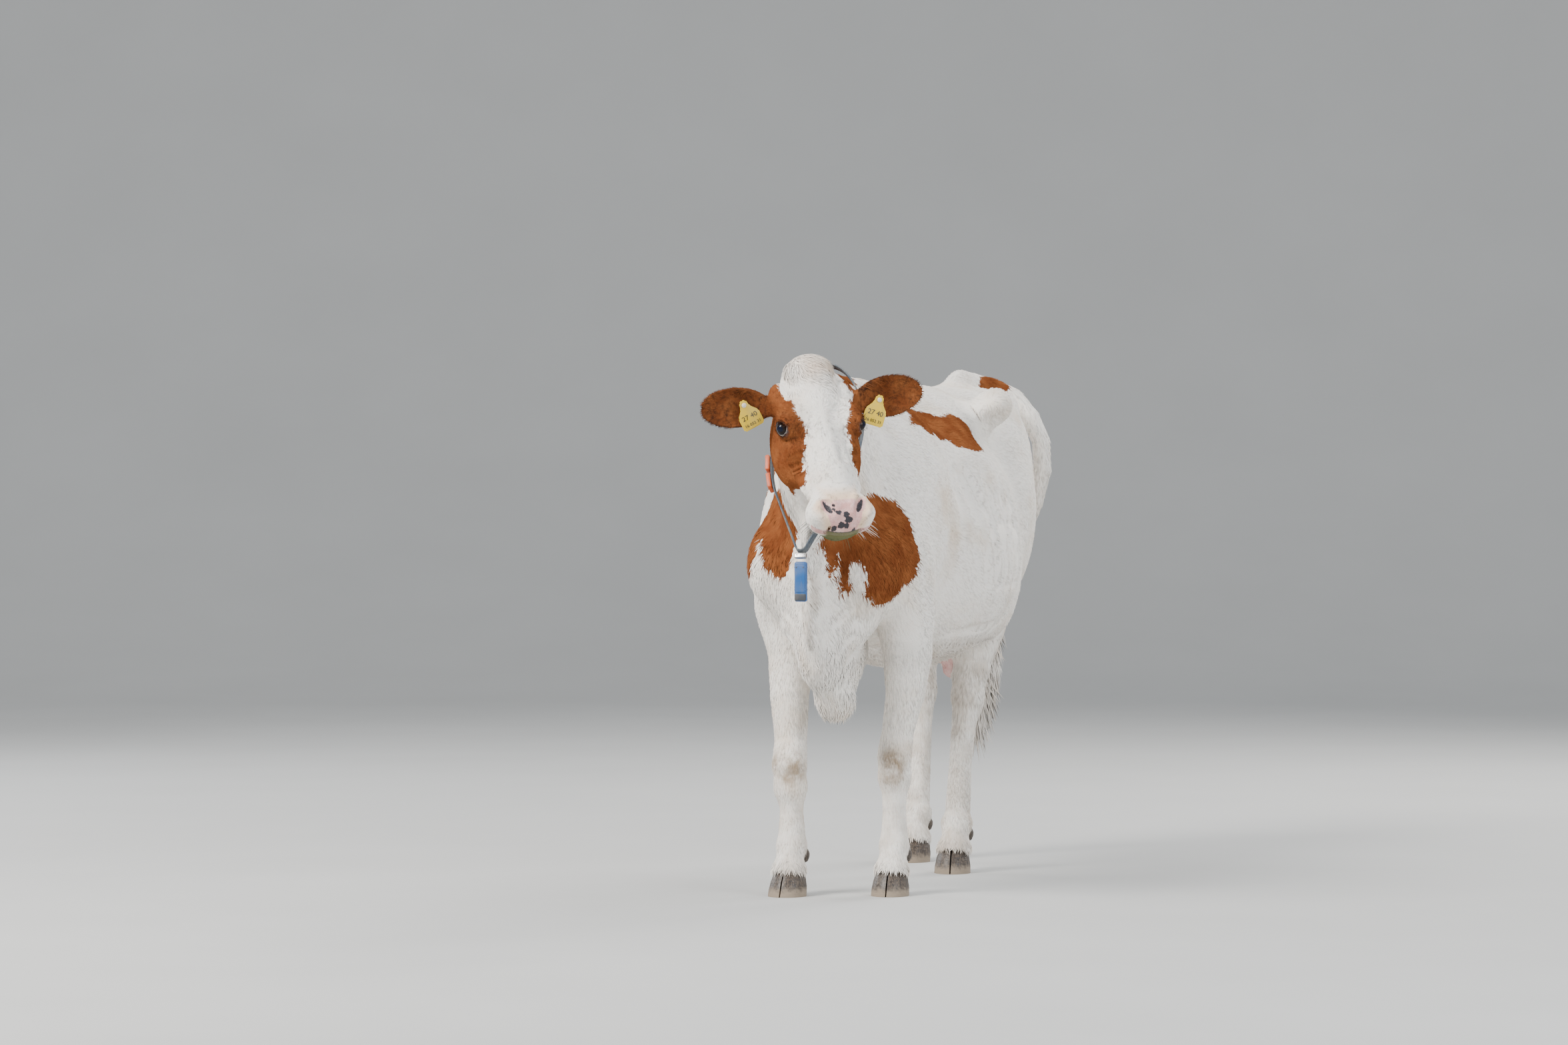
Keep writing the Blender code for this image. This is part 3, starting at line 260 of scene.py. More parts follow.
def limbs(joints, blend=0.02, carve=False):
    """The same limb on the left and, mirrored, on the right."""
    mirrored = [(-x, y, z, radius) for x, y, z, radius in joints]
    return [limb(joints, blend, carve), limb(mirrored, blend, carve)]


def in_frame(frame, parts):
    """The parts, moved from this frame's own coordinates to the body's."""
    for item in parts:
        if item["kind"] == "mass":
            item["place"] = frame @ item["place"]
        else:
            item["joints"] = [(*(frame @ Vector(joint[:3])), joint[3]) for joint in item["joints"]]
    return parts


def trunk_masses():
    """Chest, barrel, loin, rump and what stands out on them."""
    hook_x, hook_y, hook_z = HOOK_PLACE
    pin_x, pin_y, pin_z = PIN_PLACE
    barrel_half_height = 0.345
    masses = [
        mass((0, 0.22, 0.965), (0.235, 0.36, 0.335), blend=0.05),
        mass((0, 0.60, 0.925), (HALF_BARREL - 0.02, 0.43, barrel_half_height), blend=0.05),
        mass((0, 0.56, BELLY_FLOOR + 0.262), (HALF_BARREL - 0.008, 0.40, 0.262), blend=0.06),
        mass((0, 0.74, 1.185), (0.155, 0.32, 0.125), blend=0.05),
        mass((0, 1.00, 1.120), (0.205, 0.265, 0.198), blend=0.05),
        mass((0, 1.185, TAILHEAD - 0.066), (0.038, 0.135, 0.066), turn=(-3, 0, 0), blend=0.05),
        mass((0, 0.30, 1.255), (0.055, 0.55, 0.055), blend=0.07),
        mass((0, 0.06, WITHERS - 0.105), (0.070, 0.20, 0.105), blend=0.06),
        mass((0, -0.10, 0.875), (0.175, 0.175, 0.265), turn=(-12, 0, 0), blend=0.05),
    ]
    masses += pair((hook_x, hook_y, hook_z), (0.052, 0.080, 0.054), turn=(0, 0, 20), blend=0.08)
    masses += pair((0.085, 1.110, 1.165), (0.110, 0.140, 0.140), turn=(-12, 0, 0), blend=0.06)
    masses += pair((pin_x, pin_y, pin_z - 0.006), (0.034, 0.046, 0.040), blend=0.06)
    masses += pair((0.128, 1.02, 0.985), (0.118, 0.215, 0.275), turn=(6, 0, 0), blend=0.05)
    masses += pair((0.128, 0.04, 0.990), (0.080, 0.145, 0.275), turn=(-17, -12, 0), blend=0.05)
    masses += pair((0.134, -0.165, 0.855), (0.064, 0.080, 0.095), turn=(-15, 0, 0), blend=0.06)
    masses += pair((0.172, 0.040, 0.780), (0.060, 0.105, 0.135), turn=(15, 0, 0), blend=0.045)
    masses += pair((0.235, 0.700, 1.175), (0.050, 0.095, 0.060), blend=0.05, carve=True)
    return masses


def brisket_masses():
    """The keel of loose skin from the throat down to the lobe between the forelegs."""
    return [
        mass((0.006, -0.175, 0.680), (0.070, 0.105, 0.150), turn=(-22, 0, 0), blend=0.045),
        mass((0.008, -0.275, 0.800), (0.026, 0.062, 0.150), turn=(-14, 0, 0), blend=0.05),
        limb([(0.008, -0.262, 0.710, 0.030), (0.014, -0.190, 0.590, 0.038),
              (0.022, -0.125, 0.497, 0.043)], blend=0.035),
        limb([(0.018, -0.125, 0.520, 0.040), (0.010, -0.050, 0.545, 0.044),
              (0.0, 0.040, 0.610, 0.050)], blend=0.05),
        limb([(0.006, -0.100, 0.620, 0.060), (0.0, 0.020, 0.640, 0.055)], blend=0.05),
    ]


def neck_masses():
    return [
        mass((0.0, -0.070, 1.085), (0.130, 0.200, 0.240), turn=(-28, 0, 0), blend=0.06),
        mass((0.010, -0.225, 1.140), (0.093, 0.165, 0.205), turn=(-26, 0, -6), blend=0.06),
        mass((0.028, -0.330, 1.200), (0.084, 0.130, 0.160), turn=(-30, 0, -12), blend=0.05),
        mass((0.006, -0.150, 1.262), (0.042, 0.240, 0.062), turn=(-7, 0, -5), blend=0.06),
        mass((0.022, -0.345, 0.985), (0.024, 0.060, 0.150), turn=(-4, 0, 0), blend=0.05),
        mass((0.040, -0.395, 1.105), (0.050, 0.070, 0.085), turn=(-20, 0, 0), blend=0.05),
    ]


def head_masses():
    """Skull, jaws, cheeks and muzzle, in the head's own frame."""
    nostril_x, nostril_y, nostril_z = NOSTRIL_PLACE
    masses = [
        mass((0, -0.085, -0.088), (0.082, 0.112, 0.088)),
        mass((0, -0.135, -0.068), (0.098, 0.100, 0.064)),
        mass((0, -0.014, -0.040), (0.062, 0.050, 0.052)),
        mass((0, -0.290, -0.068), (0.062, 0.150, 0.056), turn=(-2, 0, 0), blend=0.035),
        mass((0, -0.270, -0.118), (0.058, 0.150, 0.062), turn=(-7, 0, 0), blend=0.035),
        mass((0, -0.420, -0.062), (0.079, 0.058, 0.046), blend=0.025),
        mass((0, -0.432, -0.086), (0.074, 0.050, 0.044), blend=0.02),
        mass((0, -0.402, -0.136), (0.050, 0.062, 0.030), turn=(-6, 0, 0), blend=0.015),
        mass((0, -0.448, -0.101), (0.046, 0.034, 0.023), blend=0.008),
        mass((0, -0.165, -0.175), (0.046, 0.110, 0.048), turn=(-14, 0, 0), blend=0.05),
    ]
    masses += pair((0.066, -0.180, -0.132), (0.044, 0.115, 0.076), turn=(-12, 0, 3))
    masses += pair((0.082, -0.158, -0.034), (0.031, 0.050, 0.029), turn=(0, 0, 6), blend=0.025)
    masses += pair((0.084, -0.066, -0.058), (0.026, 0.034, 0.032), blend=0.025)
    masses += pair((0.054, -0.430, -0.076), (0.029, 0.042, 0.029), blend=0.02)
    masses += pair((0.052, -0.285, -0.086), (0.022, 0.080, 0.022), turn=(-6, 0, 6))
    masses += pair((nostril_x + 0.012, nostril_y - 0.007, nostril_z - 0.033), (0.034, 0.030, 0.028),
                   blend=0.015)
    masses += pair((0.075, -0.256, -0.070), (0.020, 0.060, 0.022), carve=True)
    return in_frame(HEAD, masses)


def ear_masses():
    """Each ear is a leaf with a narrow neck, hollowed from in front."""
    masses = []
    for side in EAR_TURNS:
        masses += in_frame(EARS[side], [
            limb([(-0.020, 0, -0.004, 0.026), (0.030, 0, -0.004, 0.024), (0.060, 0, -0.004, 0.022)]),
            mass((EAR_LENGTH * 0.53, 0, 0), (EAR_LENGTH * 0.47, EAR_HALF_WIDTH, 0.021), blend=0.016),
            mass((EAR_LENGTH * 0.60, -0.002, 0.047), (0.122, 0.074, 0.057), blend=0.008, carve=True),
        ])
    return masses


def foreleg_limbs(side, foot):
    out = 1 if side == "left" else -1
    x, y, _ = foot
    spread = FOREARM_SPREAD[side]
    knee = 0.336 + 0.012 * out
    return [
        limb([(out * 0.158, 0.035, 0.730, 0.076), (x + out * spread * 1.2, 0.020, 0.620, 0.066),
              (x + out * spread, y * 0.4 + 0.005, 0.520, 0.053),
              (x + out * spread * 0.4, y * 0.7, knee + 0.075, 0.044),
              (x + out * 0.003, y - 0.006, knee + 0.010, 0.0475),
              (x + out * 0.002, y - 0.004, knee - 0.040, 0.041)], blend=0.04),
        limb([(x + out * 0.002, y, knee - 0.050, 0.036), (x, y + 0.002, 0.215, 0.0315),
              (x, y + 0.004, 0.165, 0.035)], blend=0.03),
        limb([(x - 0.009, y + 0.004, 0.128, 0.029), (x + 0.009, y + 0.004, 0.128, 0.029)]),
        limb([(x, y - 0.002, 0.125, 0.035), (x, y - 0.022, 0.080, 0.035)]),
        mass((x, y - 0.022, 0.062), (0.046, 0.050, 0.036), turn=(CORONET_SLOPE, 0, 0), blend=0.02),
        mass((x, y + 0.034, 0.112), (0.027, 0.022, 0.030), turn=(25, 0, 0), blend=0.02),
    ]


def hindleg_limbs(side, foot):
    out = 1 if side == "left" else -1
    x, y, _ = foot
    hock_y = y + 0.085
    stifle_y = 0.5 * (hock_y + 0.80) - 0.02
    calf_y = 0.5 * (stifle_y + hock_y) + 0.045
    hock = Vector((x + out * 0.010, hock_y, 0.478))
    return [
        limb([(out * 0.130, 0.97, 1.00, 0.125), (out * 0.152, stifle_y + 0.03, 0.790, 0.096),
              (out * 0.138, calf_y, 0.665, 0.072),
              (out * 0.124, hock_y + 0.022, 0.570, 0.050), (hock.x, hock_y, 0.490, 0.046)], blend=0.045),
        limb([(out * 0.140, calf_y + 0.035, 0.665, 0.036), (hock.x, hock_y + 0.058, 0.570, 0.020),
              (hock.x, hock_y + 0.050, 0.498, 0.023), (hock.x, hock_y + 0.030, 0.440, 0.026)], blend=0.03),
        limb([(hock.x, hock_y - 0.006, 0.455, 0.043), (x + out * 0.004, hock_y - 0.022, 0.390, 0.035),
              (x, y + 0.040, 0.280, 0.032), (x, y + 0.020, 0.175, 0.035)], blend=0.03),
        limb([(x - 0.012, y + 0.010, 0.132, 0.030), (x + 0.012, y + 0.010, 0.132, 0.030)]),
        limb([(x, y + 0.002, 0.128, 0.036), (x, y - 0.020, 0.082, 0.036)]),
        mass((x, y - 0.022, 0.062), (0.048, 0.050, 0.036), turn=(CORONET_SLOPE, 0, 0), blend=0.02),
        mass((x, y + 0.040, 0.116), (0.027, 0.022, 0.030), turn=(25, 0, 0), blend=0.02),
    ]


def flank_masses():
    """The fold of skin that joins each thigh to the belly, and the small udder with its teats."""
    masses = pair((0.195, 0.745, 0.765), (0.040, 0.130, 0.130), turn=(-25, 0, -12), blend=0.06)
    masses += [mass((0, 0.880, 0.630), (0.090, 0.125, 0.075), blend=0.05)]
    for x, y in TEATS:
        masses += [limb([(x, y, 0.585, 0.016), (x * 1.15, y, 0.535, 0.011)], blend=0.015)]
    return masses


def tail_limbs():
    """The tail leaves the rump to the cow's left and swings back behind the hocks."""
    dock = [(0.0, 1.175, 1.305, 0.036), (0.014, 1.262, 1.322, 0.034), (0.054, 1.320, 1.312, 0.031),
            (0.110, 1.342, 1.284, 0.029), (0.155, 1.350, 1.232, 0.028), (0.184, 1.355, 1.165, 0.028),
            (0.188, 1.358, 1.085, 0.027), (0.167, 1.358, 0.990, 0.025), (0.128, 1.352, 0.890, 0.022),
            (0.084, 1.345, 0.790, 0.020), (0.046, 1.338, 0.690, 0.020)]
    switch = [(0.046, 1.338, 0.690, 0.020), (0.026, 1.332, 0.600, 0.034), (0.012, 1.328, 0.500, 0.037),
              (0.004, 1.325, 0.410, 0.022), (0.002, 1.325, 0.350, 0.008)]
    return [limb(dock), limb(switch)]


def whole_body():
    parts = trunk_masses() + brisket_masses() + neck_masses() + flank_masses()
    for side in ("left", "right"):
        parts += foreleg_limbs(side, FORE_FEET[side])
        parts += hindleg_limbs(side, HIND_FEET[side])
    return parts + head_masses() + ear_masses() + tail_limbs()


# ================ folds and fine forms of the skin

def eye_frame(side):
    """The eye's place: x along the slit from inner to outer corner, y up the lids, z the way it looks."""
    out = 1 if side == "left" else -1
    look = Vector((out * 0.70, -0.46, 0.53)).normalized()
    along = Vector((out * 0.635, 0.906, -0.250))
    along = (along - look * along.dot(look)).normalized()
    up = look.cross(along)
    if up.z < 0:
        up = -up
    turn = Matrix((along, up, look)).transposed().to_4x4()
    place = Vector((out * EYE_PLACE[0], EYE_PLACE[1], EYE_PLACE[2]))
    return HEAD @ Matrix.Translation(place) @ turn


EYES = {side: eye_frame(side) for side in ("left", "right")}


def lid_arc(radius, half_length, height, start, end, lift, steps=9):
    """Points over the eyeball along one lid, from the inner corner to the outer one."""
    joints = []
    for index in range(steps):
        share = start + (end - start) * index / (steps - 1)
        x = -half_length * cos(pi * share)
        y = height * sin(pi * share)
        z = math.sqrt(max((EYE_RADIUS + lift) ** 2 - x * x - y * y, 0.006 ** 2))
        joints.append((x, y, z, radius))
    return joints


def eye_forms():
    """Lids round each eyeball, the crease over them and the opening between them."""
    parts = []
    for eye in EYES.values():
        parts += in_frame(eye, [
            mass((0, 0, -0.0005), (EYE_RADIUS + 0.0040,) * 3, blend=0.016),
            limb(lid_arc(0.0034, 0.0205, 0.0165, 0.04, 0.96, 0.0012), blend=0.006),
            limb(lid_arc(0.0030, 0.0205, -0.0145, 0.04, 0.96, 0.0010), blend=0.006),
            limb(lid_arc(0.0018, 0.0250, 0.0245, 0.26, 0.80, 0.0060), blend=0.005, carve=True),
            mass((0.0, 0.0010, 0.022), EYE_OPENING, blend=0.0020, carve=True),
        ])
    return parts


def muzzle_forms():
    """Nostrils with wings and the basin before each, the groove of the upper lip and the mouth's line."""
    x, y, z = NOSTRIL_PLACE
    parts = limbs([(x + 0.018, y + 0.019, z - 0.014, 0.0080), (x + 0.021, y - 0.002, z - 0.022, 0.0090),
                    (x + 0.014, y - 0.020, z - 0.032, 0.0080), (x - 0.001, y - 0.028, z - 0.036, 0.0065)],
                   blend=0.014)
    parts += limbs([(x - 0.003, y + 0.024, z - 0.007, 0.0080), (x - 0.014, y + 0.004, z - 0.008, 0.0080),
                    (x - 0.020, y - 0.016, z - 0.018, 0.0080)], blend=0.014)
    parts += pair((x + 0.006, y - 0.014, z - 0.004), (0.0120, 0.0170, 0.0110), turn=NOSTRIL_TURN, blend=0.014,
                  carve=True)
    parts += pair((x, y, z), NOSTRIL_RADII, turn=NOSTRIL_TURN, blend=0.004, carve=True)
    parts += [limb([(0, -0.474, -0.036, 0.0014), (0, -0.490, -0.055, 0.0018),
                    (0, -0.492, MOUTH_HEIGHT, 0.0022)], blend=0.004, carve=True)]
    parts += limbs([(0.0, -0.490, MOUTH_HEIGHT, 0.0034), (0.026, -0.486, MOUTH_HEIGHT - 0.001, 0.0034),
                    (0.050, -0.472, MOUTH_HEIGHT - 0.005, 0.0032),
                    (0.070, -0.442, MOUTH_HEIGHT - 0.016, 0.0030),
                    (0.074, -0.400, MOUTH_HEIGHT - 0.034, 0.0024)], blend=0.004, carve=True)
    return parts


def head_folds():
    """Face crest, the fullness under each eye, the edges of the bridge and wrinkles behind the mouth."""
    parts = limbs([(0.070, -0.220, -0.084, 0.004), (0.060, -0.300, -0.092, 0.005),
                   (0.052, -0.350, -0.094, 0.003)], blend=0.030)
    parts += pair((0.071, -0.236, -0.069), (0.019, 0.052, 0.021), blend=0.034)
    parts += limbs([(0.030, -0.165, -0.001, 0.003), (0.036, -0.220, -0.012, 0.003),
                    (0.034, -0.290, -0.022, 0.003)], blend=0.024, carve=True)
    for index in range(3):
        y = -0.375 + 0.014 * index
        parts += limbs([(0.064, y, -0.070 - 0.006 * index, 0.0014), (0.067, y + 0.004, -0.092, 0.0014),
                        (0.062, y + 0.010, -0.118, 0.0010)], blend=0.004, carve=True)
    return parts


def body_folds():
    """Creases at the elbow, shoulder and flank, wrinkles of the neck and brisket, and the ribs."""
    creases = (
        (0.018, (0.175, -0.060, 0.640, 0.007), (0.150, -0.140, 0.672, 0.008), (0.105, -0.215, 0.715, 0.006)),
        (0.030, (0.225, 0.150, 0.640, 0.006), (0.232, 0.135, 0.720, 0.009), (0.228, 0.130, 0.820, 0.007)),
        (0.022, (0.175, 0.330, 0.640, 0.006), (0.222, 0.430, 0.662, 0.008), (0.245, 0.560, 0.675, 0.006)),
        (0.028, (0.236, 0.640, 0.650, 0.006), (0.250, 0.700, 0.720, 0.009), (0.262, 0.740, 0.830, 0.007)),
    )
    parts = []
    for blend, *joints in creases:
        parts += limbs(joints, blend=blend, carve=True)
    for index in range(4):
        z = 1.105 - 0.060 * index
        parts += limbs([(0.110, -0.300 + 0.045 * index, z + 0.020, 0.0030),
                        (0.095, -0.345 + 0.040 * index, z - 0.030, 0.0036),
                        (0.050, -0.385 + 0.035 * index, z - 0.085, 0.0030)], blend=0.016, carve=True)
    for index in range(4):
        z = 0.740 - 0.055 * index
        parts += limbs([(0.082, -0.235 + 0.040 * index, z, 0.0028),
                        (0.058, -0.262 + 0.040 * index, z - 0.030, 0.0032)], blend=0.012, carve=True)
    for index in range(6):
        y = 0.34 + 0.062 * index
        parts += limbs([(0.215, y - 0.03, 1.080, 0.004), (0.290, y, 0.950, 0.006),
                        (0.285, y + 0.02, 0.800, 0.004)], blend=0.045, carve=True)
    return parts


def fine_forms():
    return in_frame(HEAD, head_folds() + muzzle_forms()) + eye_forms()


# ================ distance to the form

def lengths_of(vectors):
    return np.linalg.norm(vectors, axis=1)


def mass_distance(points, item):
    place = np.array(item["place"])
    radii = np.array(item["radii"])
    local = (points - place[:3, 3]) @ place[:3, :3]
    scaled = lengths_of(local / radii)
    slope = lengths_of(local / radii ** 2) + 1e-9
    return scaled * (scaled - 1.0) / slope


def limb_distance(points, item):
    nearest = np.full(len(points), 1e3)
    joints = np.array(item["joints"])
    for start, end in zip(joints[:-1], joints[1:]):
        axis = end[:3] - start[:3]
        along = np.clip((points - start[:3]) @ axis / (axis @ axis), 0.0, 1.0)
        middle = start[:3] + along[:, None] * axis
        radius = start[3] + along * (end[3] - start[3])
        nearest = np.minimum(nearest, lengths_of(points - middle) - radius)
    return nearest


def smooth_min(first, second, blend):
    share = np.clip(0.5 + 0.5 * (second - first) / blend, 0.0, 1.0)
    return second + (first - second) * share - blend * share * (1.0 - share)


def span(item):
    """Lowest and highest corner of the space in which a part can change the form."""
    if item["kind"] == "mass":
        centre = np.array(item["place"])[:3, 3]
        reach = np.abs(np.array(item["place"])[:3, :3]) @ np.array(item["radii"])
        return centre - reach - SPAN_MARGIN, centre + reach + SPAN_MARGIN
    joints = np.array(item["joints"])
    reach = joints[:, 3:]
    low, high = joints[:, :3] - reach, joints[:, :3] + reach
    return low.min(axis=0) - SPAN_MARGIN, high.max(axis=0) + SPAN_MARGIN


def near_lists(points, parts):
    """For each part, the points that it can change."""
    lists = []
    for item in parts:
        low, high = span(item)
        near = np.flatnonzero(((points > low) & (points < high)).all(axis=1))
        if len(near):
            lists.append((item, near))
    return lists


def form_distance(points, parts, lists=None):
    """Distance to the joined form: below zero inside it. Each part flows into those before it."""
    total = np.full(len(points), 1.0)
    for item, near in lists if lists is not None else near_lists(points, parts):
        measure = mass_distance if item["kind"] == "mass" else limb_distance
        distance = measure(points[near], item)
        if item["carve"]:
            total[near] = -smooth_min(-total[near], distance, item["blend"])
        else:
            total[near] = smooth_min(total[near], distance, item["blend"])
    return total


def settled(points, parts, rounds=2, reach=0.012, step=0.0005):
    """Moves points along the slope until they lie under the joined form by the coat's depth."""
    lists = near_lists(points, parts)
    depth = coat_depth(points)
    for _ in range(rounds):
        here = form_distance(points, parts, lists)
        slope = np.zeros_like(points)
        for axis in range(3):
            shift = np.zeros(3)
            shift[axis] = step
            slope[:, axis] = (form_distance(points + shift, parts, lists) - here) / step
        move = (here + depth) / np.maximum((slope ** 2).sum(axis=1), 0.1)
        points = points - np.clip(move, -reach, reach)[:, None] * slope
    return points


# ================ regions of the body

def smoothstep(low, high, values):
    share = np.clip((values - low) / (high - low), 0.0, 1.0)
    return share * share * (3.0 - 2.0 * share)


def columns(*values):
    """An array with these columns, each a number or an array."""
    return np.stack(np.broadcast_arrays(*values), axis=1)


def local_to(matrix, points):
    inverse = np.array(matrix.inverted())
    return points @ inverse[:3, :3].T + inverse[:3, 3]


def head_amount(points):
    """1 on the head, 0 on the neck: the line runs behind the poll, the ears and the jaw."""
    local = local_to(HEAD, points)
    along, height = zip(*HEAD_CUT)
    above = local[:, 2] - np.interp(local[:, 1], along, height)
    slope = np.interp(local[:, 1], (-0.30, -0.15, -0.05, 0.02, 0.07), (0.97, 0.90, 0.64, 0.50, 0.28))
    near = lengths_of(local - np.array((0.0, -0.23, -0.08))) < 0.42
    beside = smoothstep(0.22, 0.17, np.abs(local[:, 0]))
    return smoothstep(-0.020, 0.020, above * slope) * near * np.maximum(beside, local[:, 2] > -0.15)


def in_ear_box(local):
    """True in the box that holds an ear, in the ear's own frame."""
    return (np.abs(local[:, 1]) < 0.085) & (np.abs(local[:, 2]) < 0.07) & (local[:, 0] < 0.23)


def ear_amount(points):
    """1 on the ears, 0 on the head."""
    amount = np.zeros(len(points))
    for ear in EARS.values():
        local = local_to(ear, points)
        amount = np.maximum(amount, smoothstep(0.010, 0.050, local[:, 0]) * in_ear_box(local))
    return amount


def muzzle_amount(points):
    """Distance inside the edge of the muzzle's bare pad: above zero on it."""
    local = local_to(HEAD, points)
    near_head = lengths_of(local - np.array(PAD_MIDDLE)) < 0.12
    down = down_the_pad(local)
    half = np.interp(down, (-0.01, 0.015, 0.035, 0.055, 0.075, 0.10),
                     (0.022, 0.033, 0.047, 0.041, 0.034, 0.032))
    under = local[:, 2] - (MOUTH_HEIGHT + 0.004)
    return np.where(near_head, np.minimum.reduce([down - 0.006, under, half - np.abs(local[:, 0])]), -0.1)


def down_the_pad(local):
    """How far a point of the head lies below the top of the pad, along its slope."""
    return -0.731 * (local[:, 1] + 0.413) - 0.681 * (local[:, 2] + 0.018)


def coat_depth(points):
    """How far the skin lies under the coat's outer surface."""
    head = head_amount(points)
    local = local_to(HEAD, points)
    face = head * smoothstep(-0.18, -0.34, local[:, 1])
    depth = COAT_DEPTH + (FACE_DEPTH - COAT_DEPTH) * np.maximum(0.55 * head, face)
    depth = depth * (1.0 - 0.5 * ear_amount(points))
    depth = depth * (1.0 - 0.45 * smoothstep(0.45, 0.20, points[:, 2]))
    bare = smoothstep(-0.006, 0.004, muzzle_amount(points))
    return depth * (1.0 - 0.8 * bare)


# ================ markings and painted shade

def blob(points, centre, radii, turn=(0, 0, 0)):
    """Signed distance to an ellipsoid: above zero inside it."""
    return -mass_distance(points, mass(centre, radii, turn))


def waves(points, size, seed):
    """A smooth, uneven field of about -1 to 1, made of crossed sine waves."""
    rng = np.random.default_rng(seed)
    total = np.zeros(len(points))
    for index in range(6):
        way = rng.normal(size=3)
        way *= 2.0 * pi / (size * (0.6 + 0.2 * index)) / np.linalg.norm(way)
        total += np.sin(points @ way + rng.uniform(0.0, 6.28))
    return total / 3.0


def face_patches(points):
    """Rust cheeks and temples on each side of the blaze, in the head's frame."""
    local = local_to(HEAD, points)
    x, y, z = local.T
    right_edge = np.interp(-y, (0.00, 0.04, 0.09, 0.115, 0.165, 0.19, 0.25, 0.32),
                           (0.075, 0.083, 0.082, 0.067, 0.057, 0.044, 0.055, 0.066))
    left_edge = np.interp(-y, (0.00, 0.06, 0.09, 0.13, 0.166, 0.23, 0.29, 0.345),
                          (0.080, 0.087, 0.100, 0.080, 0.065, 0.066, 0.080, 0.074))
    front = y + 0.335 - 0.34 * np.maximum(-z - 0.07, 0.0)
    rear = 0.012 - y - 0.25 * (z + 0.10)
    under = z + 0.225
    right = np.minimum.reduce([-x - right_edge, front, under, rear])
    left = np.minimum.reduce([x - left_edge, front + 0.012, under, rear])
    inside = np.maximum(right, left)
    return np.where(head_amount(points) > 0.02, inside, -0.1)


def rust_patches(points):
    """Signed distance to the rust patches all over the cow: above zero where the hair is rust."""
    field = np.full(len(points), -0.2)
    blobs = [
        ((0.165, -0.160, 0.900), (0.100, 0.115, 0.150), 8),
        ((0.150, 0.395, 1.212), (0.090, 0.245, 0.046), -3),
        ((0.185, 0.520, 1.190), (0.085, 0.120, 0.062), 0),
        ((-0.100, -0.215, 0.945), (0.078, 0.115, 0.110), 0),
        ((-0.165, -0.180, 0.915), (0.045, 0.080, 0.085), 0),
        ((0.056, -0.300, 0.910), (0.011, 0.070, 0.070), 0),
        ((0.082, -0.265, 0.895), (0.012, 0.060, 0.080), 0),
        ((-0.210, 0.120, 1.110), (0.120, 0.170, 0.210), -12),
        ((-0.270, 0.560, 0.930), (0.110, 0.190, 0.150), 18),
        ((-0.250, 0.930, 1.080), (0.130, 0.170, 0.120), 0),
        ((-0.230, 1.050, 0.960), (0.120, 0.120, 0.140), 10),
        ((0.170, 1.250, 1.110), (0.030, 0.050, 0.036), 0),
        ((0.035, 0.795, 0.600), (0.022, 0.026, 0.022), 0),
        ((0.010, -0.120, 1.330), (0.060, 0.110, 0.045), 0),
        ((0.060, 1.280, 1.320), (0.060, 0.060, 0.050), 0),
    ]
    for centre, radii, pitch in blobs:
        field = np.maximum(field, blob(points, centre, radii, (pitch, 0, 0)))
    field = field + 0.014 * waves(points, 0.16, 3) + 0.006 * waves(points, 0.055, 4)
    head = head_amount(points)
    face = face_patches(points) + 0.004 * waves(points, 0.045, 5)
    ear = smoothstep(0.2, 0.6, ear_amount(points)) * 0.25 - 0.2
    neck_end = np.where(head > 0.9, -0.2, field - 0.2 * head)
    field = np.maximum(face, np.where(head > 0.4, neck_end, field))
    return np.clip(np.maximum(field, ear), -0.06, 0.06)


def nostril_field(local, radii, aside):
    """Above zero in an ellipsoid of these radii at either nostril, moved out by the factor aside."""
    x, y, z = NOSTRIL_PLACE
    roll, yaw = NOSTRIL_TURN[1:]
    left = blob(local, (aside * x, y, z), radii, (0, roll, yaw))
    return np.maximum(left, blob(local, (-aside * x, y, z), radii, (0, -roll, -yaw)))


